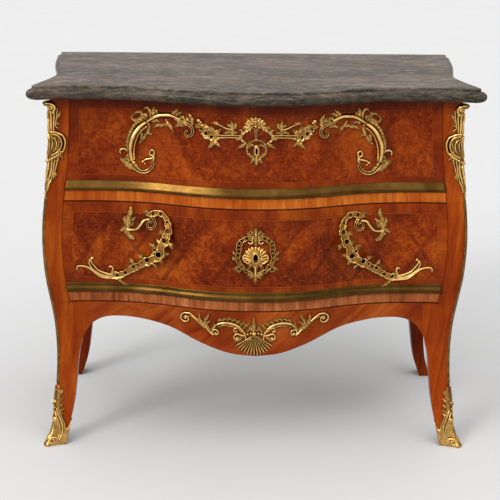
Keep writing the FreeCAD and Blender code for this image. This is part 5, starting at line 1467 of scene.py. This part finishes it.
both.strip([(-14, 478), (-20, 481), (-27, 487), (-29, 496), (-24, 500), (-20, 496)],
           (2.4, 2.8, 3, 3, 2.6, 2), 8, ROUND)
both.strip([(-12, 474), (-16, 466), (-12, 458), (-5, 454)], (2.6, 2.8, 3, 3.2), 7, GROOVED)
both.strip([(-6, 545), (-8, 537), (-7, 530), (-13, 528), (-18, 531)], (3.2, 3, 3, 2.8, 2.2),
           8, ROUND)
frame_mount.strip([(0, 549), (0, 540), (0, 530), (0, 522)], (3.2, 4.8, 4.4, 3.4),
                  8.5, LEAF, 0, 2, 0.2)
frame_mount.rod([(0, 472), (0, 462), (0, 452)], (4.0, 3.2, 4.0), 0, 8)
for path, wide in (([(-43, 499), (-48, 501), (-53, 506)], 3.8),
                   ([(-45, 486), (-50, 488), (-53, 493)], 3.8),
                   ([(-39, 472), (-45, 466), (-51, 464)], 5.0),
                   ([(-31, 462), (-39, 459), (-46, 461)], 4.4),
                   ([(-3, 546), (-8, 551), (-12, 556)], 4.6),
                   ([(-10, 545), (-16, 550), (-20, 549)], 4.0),
                   ([(-3, 453), (-8, 447), (-13, 442)], 5.2),
                   ([(-6, 455), (-13, 452), (-18, 447)], 4.2)):
    both.leaf(path, wide, 6, 2)
frame_mount.leaf([(0, 548), (0, 555), (0, 562)], 5, 6.5, 3)
frame_mount.leaf([(0, 455), (0, 444), (0, 431)], 5.4, 6.5, 3)
frame_mount.bead(0, 549, 3.6, 8).bead(0, 453, 4, 8)
frame_mount.piece("gilt_lower_cartouche", "lower_drawer", "lower_cartouche")
print("cartouches built")

# %% [markdown]
# ## Shell mount on the apron
# A scallop shell hangs under the middle of the apron between two pairs of scrolls: a smooth bright
# C-arc, and a leafy S-scroll that ends in a volute.


# %% Apron shell
shell = Casting()
both = Mirrored(shell)
scallop(shell, -1, 300, 56, 212, 328, 13, 9, 0.25)
both.rod([(-21, 286), (-23, 299), (-32, 312), (-44, 321), (-61, 326), (-77, 325), (-91, 319),
          (-101, 305)],
         (2.6, 3.2, 3.4, 3.4, 3.4, 3.2, 2.8, 2.4), 0, 7.5)
both.strip([(-30, 305), (-42, 315), (-60, 320), (-77, 319), (-88, 313)], (1.6, 2.6, 3, 2.6, 1.4),
           5, GROOVED)
for path in ([(-77, 328), (-72, 335), (-66, 334)], [(-66, 329), (-60, 336), (-53, 333)],
             [(-56, 328), (-48, 334), (-42, 330)], [(-46, 323), (-38, 329), (-32, 325)],
             [(-36, 317), (-28, 325), (-22, 324)], [(-28, 310), (-20, 320), (-13, 325)],
             [(-20, 302), (-12, 311), (-8, 321)], [(-86, 325), (-83, 331), (-77, 333)]):
    both.leaf(path, 4.2, 5.5, 2)
both.curl(-44, 307, 7, 0.15, 0.9, 2.2, 5, 0, [(-30, 303), (-36, 310)])
both.curl(-42, 290, 9.5, 0.1, 0.95, 2.8, 6, 0, [(-24, 294), (-31, 296)])
both.leaf([(-28, 290), (-38, 283), (-46, 279)], 4.8, 6, 3)
both.leaf([(-14, 302), (-22, 296), (-33, 292)], 4.2, 6, 3)
both.curl(-92, 299, 9, 0.45, -0.95, 2.6, 5.5, 0, [(-112, 307), (-105, 299), (-98, 293)])
both.leaf([(-104, 303), (-118, 313), (-132, 325), (-146, 334)], 8.2, 6.5, 7)
both.leaf([(-112, 312), (-118, 325), (-112, 336), (-108, 347)], 4.6, 5.5, 4)
both.leaf([(-122, 320), (-130, 331), (-130, 346)], 4.4, 5.5, 3)
both.leaf([(-104, 306), (-96, 315), (-96, 324)], 4.0, 5, 3)
both.leaf([(-118, 314), (-110, 324), (-104, 326)], 3.8, 5, 3)
both.curl(-164, 330, 13.5, 0.2, 1.25, 3.2, 6, 0, [(-134, 326), (-144, 335), (-154, 343)])
both.leaf([(-140, 331), (-150, 336), (-158, 335)], 4, 6, 3)
shell.leaf([(-1, 300), (-2, 314), (-2, 328), (-2, 341)], 6, 8, 5)
both.leaf([(-1, 302), (-7, 310), (-9, 318)], 3.8, 6.5, 2)
shell.bead(-1, 300, 6.5, 11)
both.bead(-9, 301, 4, 8).bead(-16, 298, 3.6, 7)
shell.piece("gilt_apron_shell", "carcass", "apron_shell_mount")
print("apron shell:", shell.count, "points")

# %% [markdown]
# ## Corner mounts, strips and shoes
# The corners carry the largest castings: a scroll under the marble, a fluted neck, a cartouche with
# a row of beads and a long leaf. A thin strip guards the arris down to the shoe, whose leaf climbs
# to meet it. These patterns use the corner's own coordinates: round the corner, up, out.

# %% Corner mounts
corner = Casting(on_corner, press=0.6)
both = Mirrored(corner)
corner.sheet(((616, -2, 2), (632, -5, 4), (648, -9, 7), (660, -14, 11), (678, -17, 14),
              (695, -20, 16), (708, -24, 18), (718, -27, 20), (728, -32, 24), (740, -34, 26),
              (752, -32, 25), (761, -24, 18), (768, -13, 11), (780, -13, 11), (798, -15, 12),
              (815, -16, 13), (826, -12, 10), (837, -8, 7)), 2.6)
for path, wide, high in (
        ([(4, 818), (3.9, 801), (1.3, 789), (0, 770)], 2.4, 6.5),
        ([(-3, 818), (-4.5, 803), (-5, 790), (-5.8, 770)], 2.4, 7.5),
        ([(-9.4, 818), (-10, 803), (-9.2, 790), (-9.5, 771)], 2.4, 7.0),
        ([(-17, 824), (-15.8, 810), (-14.3, 798), (-13.4, 782), (-20, 777)], 2.2, 6.0)):
    both.strip(path, (0.8 * wide, wide, wide, 0.7 * wide), high, ROUND)
both.leaf([(-14, 796), (-18, 803), (-22, 811), (-21, 816)], 3.6, 7, 2)
both.leaf([(-12, 786), (-17, 788), (-20, 785)], 3.2, 6, 2)
both.strip([(-6, 812), (-10, 819), (-11.5, 827), (-7, 834), (2, 837)], (3, 3.8, 4, 4, 3.4),
           (7, 9, 11, 12, 12), ROUND)
both.strip([(2, 829), (-5, 829), (-7, 824), (-3, 821)], (2.6, 2.8, 2.6, 2), (11, 11, 10, 9), ROUND)
corner.bead(-1, 824, 3.4, 11).bead(0, 836, 5, 17)
corner.leaf([(0, 828), (2, 834), (3, 839)], 5, 19, 2)
both.strip([(2, 769), (-9.6, 769), (-20.7, 765), (-29.5, 760.3), (-34.8, 750.3), (-36, 740),
            (-32.2, 724.5), (-23.1, 715.7), (-14.2, 709.7), (-6.8, 704.9), (1.4, 698.3)],
           (2.8, 3.4, 3.6, 3.6, 3.8, 3.6, 3.4, 3.2, 3.0, 2.8, 2.4),
           (7, 8, 8, 9, 9, 9, 9, 8, 8, 8, 7), ROUND)
both.strip([(-4, 764.5), (-15.8, 761.4), (-23.4, 754.6), (-28, 742.8), (-25.4, 730), (-17.4, 720.5),
            (-6.4, 714)],
           (2, 2.6, 2.8, 3, 3, 2.6, 2), (6, 7, 8, 9, 9, 8, 7), ROUND)
both.strip([(-4, 758), (-12.3, 752.5), (-16.6, 743), (-15, 731.7), (-8.9, 723)],
           (1, 2.4, 3, 2.4, 1), (6, 8, 9, 8, 6), ROUND)
both.strip([(-18, 754), (-21.6, 744), (-19.6, 733), (-14, 725)], (0.8, 2, 2, 0.8), (5, 6, 6, 5),
           ROUND)
both.strip([(3, 764), (-1, 750), (-1, 733), (2, 714)], (2.2, 2.8, 2.8, 2.2), (6, 7, 7, 6), GROOVED)
both.strip([(-6, 752), (-8, 742), (-6, 728)], (1.2, 2.2, 1.2), 6, ROUND)
both.bead(-23, 746, 2.6, 10).bead(-21, 728, 2.8, 10.5).bead(-13, 756, 2.2, 6)
beads_on(corner, [(-27, 722), (-18.8, 716), (-12.8, 711), (-6, 706), (1, 700)], 5.6, 3.0, 7.5)
both.leaf([(-14, 708), (-21, 712), (-27, 711.5), (-32, 706)], 4.0, 7, 2)
for path in ([(-0.5, 699), (-2.2, 686), (-0.5, 672), (2.2, 654)],
             [(-7.8, 702), (-8.5, 689), (-7.3, 673), (-4.7, 653)],
             [(-14.5, 705), (-12.8, 691), (-12.1, 676), (-9.5, 658)],
             [(-21.7, 709), (-18.9, 694), (-16.2, 678), (-13.4, 660)]):
    both.strip(path, (2.2, 2.6, 2.6, 1.6), (5, 6.5, 7, 5), ROUND)
both.leaf([(-16, 676), (-18, 668), (-15, 660)], 3.2, 6, 2)
both.strip([(0.5, 668), (-2.7, 650), (-1.8, 634), (0.4, 612)], (3.2, 4.2, 3.2, 1.4), (5, 6.5, 6, 4),
           LEAF, lobes=4, depth=0.25)
both.strip([(-10.5, 660), (-6.6, 648), (-4.6, 632)], (1.8, 2.4, 1.2), (5, 6, 4), ROUND)
corner.bead(1, 664, 3.4, 8).bead(0, 626, 2.8, 7)
for side, flip in (("right", False), ("left", True)):
    corner.piece(f"gilt_{side}_corner_mount", "carcass", f"{side}_corner_mount", flip)
print("corner mounts:", corner.count, "points each")

# %% Corner strips
reed = Casting(on_corner)
reed.strip([(0, z) for z in np.linspace(146, 615, 24)], 4.6, 2.0, RIBBON, step=6)
reed.relief = [0.5 * values for values in reed.relief]
for side, flip in (("right", False), ("left", True)):
    reed.piece(f"gilt_{side}_corner_strip", "carcass", f"{side}_corner_strip", flip)
print("corner strips:", reed.count, "points each")

# %% [markdown]
# A shoe is a sleeve round the toe. Its columns run from the leg's inner edge over the toe to the
# rear edge, its rows from the floor up to a rim with a notch, where a tongue of wood shows. Scrolls
# and a climbing leaf are laid over the sleeve with the same strips as on the other mounts.


# %% Shoes
def shoe_rim(inward):
    """Height of the shoe's edge at a distance from the arris: a tongue of wood fills a notch."""
    rows = np.array(((0, 67), (6, 66), (12, 61), (22, 51), (28, 43.5), (32, 39.5), (36, 37.5),
                     (39, 40), (41.5, 50), (43, 61)))
    return smooth(rows, inward) * MM


def shoe_plan(z, wall, toe, spread):
    """Plan of the shoe at one height for every column, from the leg's inner edge over the toe."""
    x, y = corner_x(z), -(end_y(z) + CORNER_SWEEP)
    left = x - smooth(FRONT_LEG, z / APRON_CLEARANCE) - wall
    rear = FOOT_Y + (POST_BACK_Y - FOOT_Y) * smooth(LEG_BACK, z / KNEE_Z) + wall
    u = SHOE_COLUMNS
    front, nose, side = u <= 1, (u > 1) & (u < 2), u >= 2
    front_x = left + (x - CORNER_FLAT - left) * np.minimum(u, 1)
    px = np.where(front, front_x, 0.0)
    py = np.where(front, front_y(front_x, z) - wall - spread * np.minimum(u, 1) ** 2, 0.0)
    angle = np.pi / 2 * np.clip(u - 1, 0, 1)
    px = np.where(nose, x - CORNER_FLAT * (1 - np.sin(angle)) + toe * np.sin(angle), px)
    py = np.where(nose, y + CORNER_FLAT * (1 - np.cos(angle)) - toe * np.cos(angle), py)
    back = np.clip(u - 2, 0, 1)
    side_y = y + CORNER_FLAT + (rear - y - CORNER_FLAT) * back
    px = np.where(side, side_x(side_y, z) + wall + spread * (1 - back) ** 2, px)
    py = np.where(side, side_y, py)
    return px, py


SHOE_COLUMNS = np.concatenate([np.linspace(0, 1, 26), np.linspace(1, 2, 9)[1:-1],
                               np.linspace(2, 3, 26)])
SHOE_SIDE = 43
from_toe = np.maximum(np.maximum(1 - SHOE_COLUMNS, SHOE_COLUMNS - 2), 0) * SHOE_SIDE
rim = shoe_rim(from_toe)
SHOE_PROFILE = np.array(((0, 2.2, 6.4, 1.4), (1, 2.8, 7.6, 2.0), (3.5, 3.1, 8.6, 2.4),
                         (7, 3.1, 8.0, 2.4), (11, 3.0, 6.0, 1.6), (17, 2.8, 4.4, 0.7),
                         (25, 2.5, 3.6, 0.2), (36, 2.2, 3.0, 0), (70, 1.7, 2.2, 0))) * MM
SHOE_CLEARANCE = 0.0004
foot_rows = []
for share in (0, 0.02, 0.06, 0.11, 0.17, 0.26, 0.38, 0.52, 0.68, 0.84, 0.94, 1.0):
    z = rim * share
    wall, toe, spread = (smooth(SHOE_PROFILE, z, k) for k in (1, 2, 3))
    lip = 0.0012 * math.exp(-((share - 0.97) / 0.035) ** 2)
    px, py = shoe_plan(z, wall + lip, toe + lip, spread)
    foot_rows.append(np.stack([px, py, z], 1))
for share in (1.0, 0.5, 0.0):
    px, py = shoe_plan(rim * share, SHOE_CLEARANCE, SHOE_CLEARANCE, 0.0)
    foot_rows.append(np.stack([px, py, rim * share], 1))
foot_rows = np.array(foot_rows)
count, width = foot_rows.shape[:2]
faces = grid_faces(count, width)
last = (count - 1) * width
faces += [(last + k, last + k + 1, k + 1, k) for k in range(width - 1)]
faces += [tuple(k * width for k in range(count)),
          tuple(k * width + width - 1 for k in range(count))]
level = np.repeat(np.array((0.75,) * (count - 5) + (1.0, 1.0, 0.2, 0.2, 0.2)), width)
foot = Casting(on_corner, press=0.8)
foot.add(foot_rows.reshape(-1, 3), faces, level)
both = Mirrored(foot)
both.strip([(-3.5, 88), (-12.4, 66), (-21.6, 47), (-26.5, 29), (-25, 13)],
           (2.2, 3.2, 3.4, 3.0, 2.4), (5.5, 6.5, 6.5, 6, 6), ROUND)
both.strip([(-1.5, 80), (-8, 62), (-16, 46), (-20.6, 30), (-20, 16)], (1.6, 2.2, 2.2, 2, 1.6),
           (5.5, 6, 6, 5.5, 5.5), ROUND)
both.strip([(-5, 92), (-17, 66), (-27, 48), (-31.5, 34)], (1.2, 1.8, 1.8, 1.2), (4, 5, 5, 4), ROUND)
foot.strip([(0, 62), (0, 44), (0, 26), (0, 14)], (2, 2.6, 2.8, 3), (4.5, 5, 6.5, 9), ROUND)
both.strip([(0.5, 15), (-9.5, 20), (-19, 17.5), (-24, 12)], (3, 3.4, 3, 2), (10, 8.5, 6.5, 5),
           ROUND)
both.curl(-9, 10, 6, 0.25, 0.9, 2.2, 5.5, 3)
both.strip([(-5, 72), (-5.5, 92), (-5, 112), (-6, 130), (-5, 143)], (3.4, 4.6, 5.6, 6.2, 2),
           (4.5, 6, 6.5, 6, 4), LEAF, lobes=5, depth=0.22, slant=-2)
for path in ([(-5, 100), (-11, 108), (-16, 113)], [(-5, 88), (-11, 94), (-17, 99)],
             [(-6, 78), (-13, 82), (-20, 85)], [(-6, 118), (-11, 126), (-14, 134)],
             [(-8, 70), (-14, 74), (-18, 77)]):
    both.leaf(path, 3.8, 6.5, 2)
foot.leaf([(0, 96), (1, 102), (1, 107)], 4, 12, 2)
foot.bead(0, 104, 3.6, 10)
for side, flip in (("right", False), ("left", True)):
    foot.piece(f"gilt_{side}_shoe", "carcass", f"{side}_sabot", flip)
print("shoes:", foot.count, "points each")

# %% [markdown]
# ## Hidden joinery
# Rails, runners, linings, studs and locks keep the exact shapes of the frame and only get a finish.
# The frame's record says what each one is made of. The front rails show only in the gaps between
# the drawers, and they are near black: painted shade for those gaps.

# %% Finishes of the hidden joinery and of the metalwork
FINISH_OF = {"veneer": post_veneer, "carcass_wood": carcass_oak, "drawer_lining": lining_oak,
             "gilt_bronze": gilt, "dark_brass": moulding_brass, "lock_brass": moulding_brass,
             "iron": lock_iron, "marble": marble}
for entry in frame["record"]["subparts"]:
    node = frame["nodes"][entry["node"]]
    node.data.materials.clear()
    # The front rails get the near-black finish, painted shade for the gaps they show in.
    is_rail = entry["node"].endswith("_front_rail")
    node.data.materials.append(rail_painted_gap_shade if is_rail else FINISH_OF[entry["material_slot"]])
print("finishes set on", len(frame["nodes"]), "nodes")

# %% [markdown]
# ## Floor, light and camera
# The chest stands on one wide, plain, pale floor. The lamps are suns with a broad disc, so they
# light the floor evenly however far it goes and still cast soft shadows. One stands high in front
# for the marble, and a narrower one at the left draws the highlights of the mouldings. Two weak
# ones stand low at the left and the right, and a faint one behind. The dim air fills the shadows.
# The camera is a long lens at about a person's eye height.


# %% Floor
def pale_ground(name):
    """Matt off-white paint. Seen or mirrored it is pale, but it throws less light back."""
    f = Finish(name, Roughness=0.9, Specular_IOR_Level=0.05)
    ray = f.node("LightPath").outputs
    mirrored = f.calc("MAXIMUM", ray["Is Glossy Ray"], ray["Is Transmission Ray"])
    seen = f.calc("MAXIMUM", ray["Is Camera Ray"], mirrored)
    fine = f.noise(f.place, 3.0, 2.0)
    paint = f.ramp(fine, (0.3, linear(208, 208, 208)), (0.7, linear(210, 210, 210)))
    return f.set(Base_Color=f.blend(seen, linear(140, 140, 140), paint))


REACH = 40.0
corners = np.array([(-REACH, -REACH, 0), (REACH, -REACH, 0), (REACH, REACH, 0), (-REACH, REACH, 0)])
ground = new_piece("studio_floor", corners, [(0, 1, 2, 3)])
ground.data.materials.append(pale_ground("pale_floor"))
print("floor built")


# %% Lamps and the air around
LAMP_DISTANCE = 4.0


def broad_sun(name, azimuth, height, strength, disc):
    """A soft distant lamp. Azimuth is measured from straight in front, positive to the right."""
    data = bpy.data.lights.new(name, "SUN")
    data.energy = strength
    data.angle = math.radians(disc)
    azimuth, height = math.radians(azimuth), math.radians(height)
    away = math.cos(height)
    towards = Vector((math.sin(azimuth) * away, -math.cos(azimuth) * away, math.sin(height)))
    lamp = bpy.data.objects.new(name, data)
    lamp.location = towards * LAMP_DISTANCE
    lamp.rotation_euler = towards.to_track_quat("Z", "Y").to_euler()
    bpy.context.scene.collection.objects.link(lamp)
    return lamp


broad_sun("above", -12, 74, 2.5, 110)
broad_sun("key_left", -42, 30, 1.15, 22)
broad_sun("soft_left", -40, 12, 0.75, 100)
broad_sun("soft_right", 46, 20, 0.5, 90)
broad_sun("behind", 180, 35, 0.12, 70)
world = bpy.data.worlds.new("studio_air")
world.use_nodes = True
air = world.node_tree.nodes["Background"]
air.inputs["Color"].default_value = (1.0, 1.0, 1.0, 1.0)
air.inputs["Strength"].default_value = 0.25
bpy.context.scene.world = world
bpy.context.scene.view_settings.view_transform = "Standard"
print("lamps:", [o.name for o in bpy.data.objects if o.type == "LIGHT"])

# %% Camera
CAMERA_PLACE = Vector((-0.05776, -3.25795, 1.44537))
YAW, PITCH, ROLL = 0.0148886, 0.301668, 0.0099784
LENS_PER_WIDTH = 1364.26 / 500
ahead = Vector((math.sin(YAW) * math.cos(PITCH), math.cos(YAW) * math.cos(PITCH), -math.sin(PITCH)))
level = Vector((math.cos(YAW), -math.sin(YAW), 0))
upward = level.cross(ahead)
right_way = math.cos(ROLL) * level + math.sin(ROLL) * upward
up_way = -math.sin(ROLL) * level + math.cos(ROLL) * upward
camera_data = bpy.data.cameras.new("camera")
camera_data.sensor_width = 36.0
camera_data.lens = LENS_PER_WIDTH * camera_data.sensor_width
camera = bpy.data.objects.new("camera", camera_data)
turn = Matrix((right_way, up_way, -ahead)).transposed().to_4x4()
camera.matrix_world = Matrix.Translation(CAMERA_PLACE) @ turn
bpy.context.scene.collection.objects.link(camera)
bpy.context.scene.camera = camera
print("camera lens", round(camera_data.lens, 2), "mm")
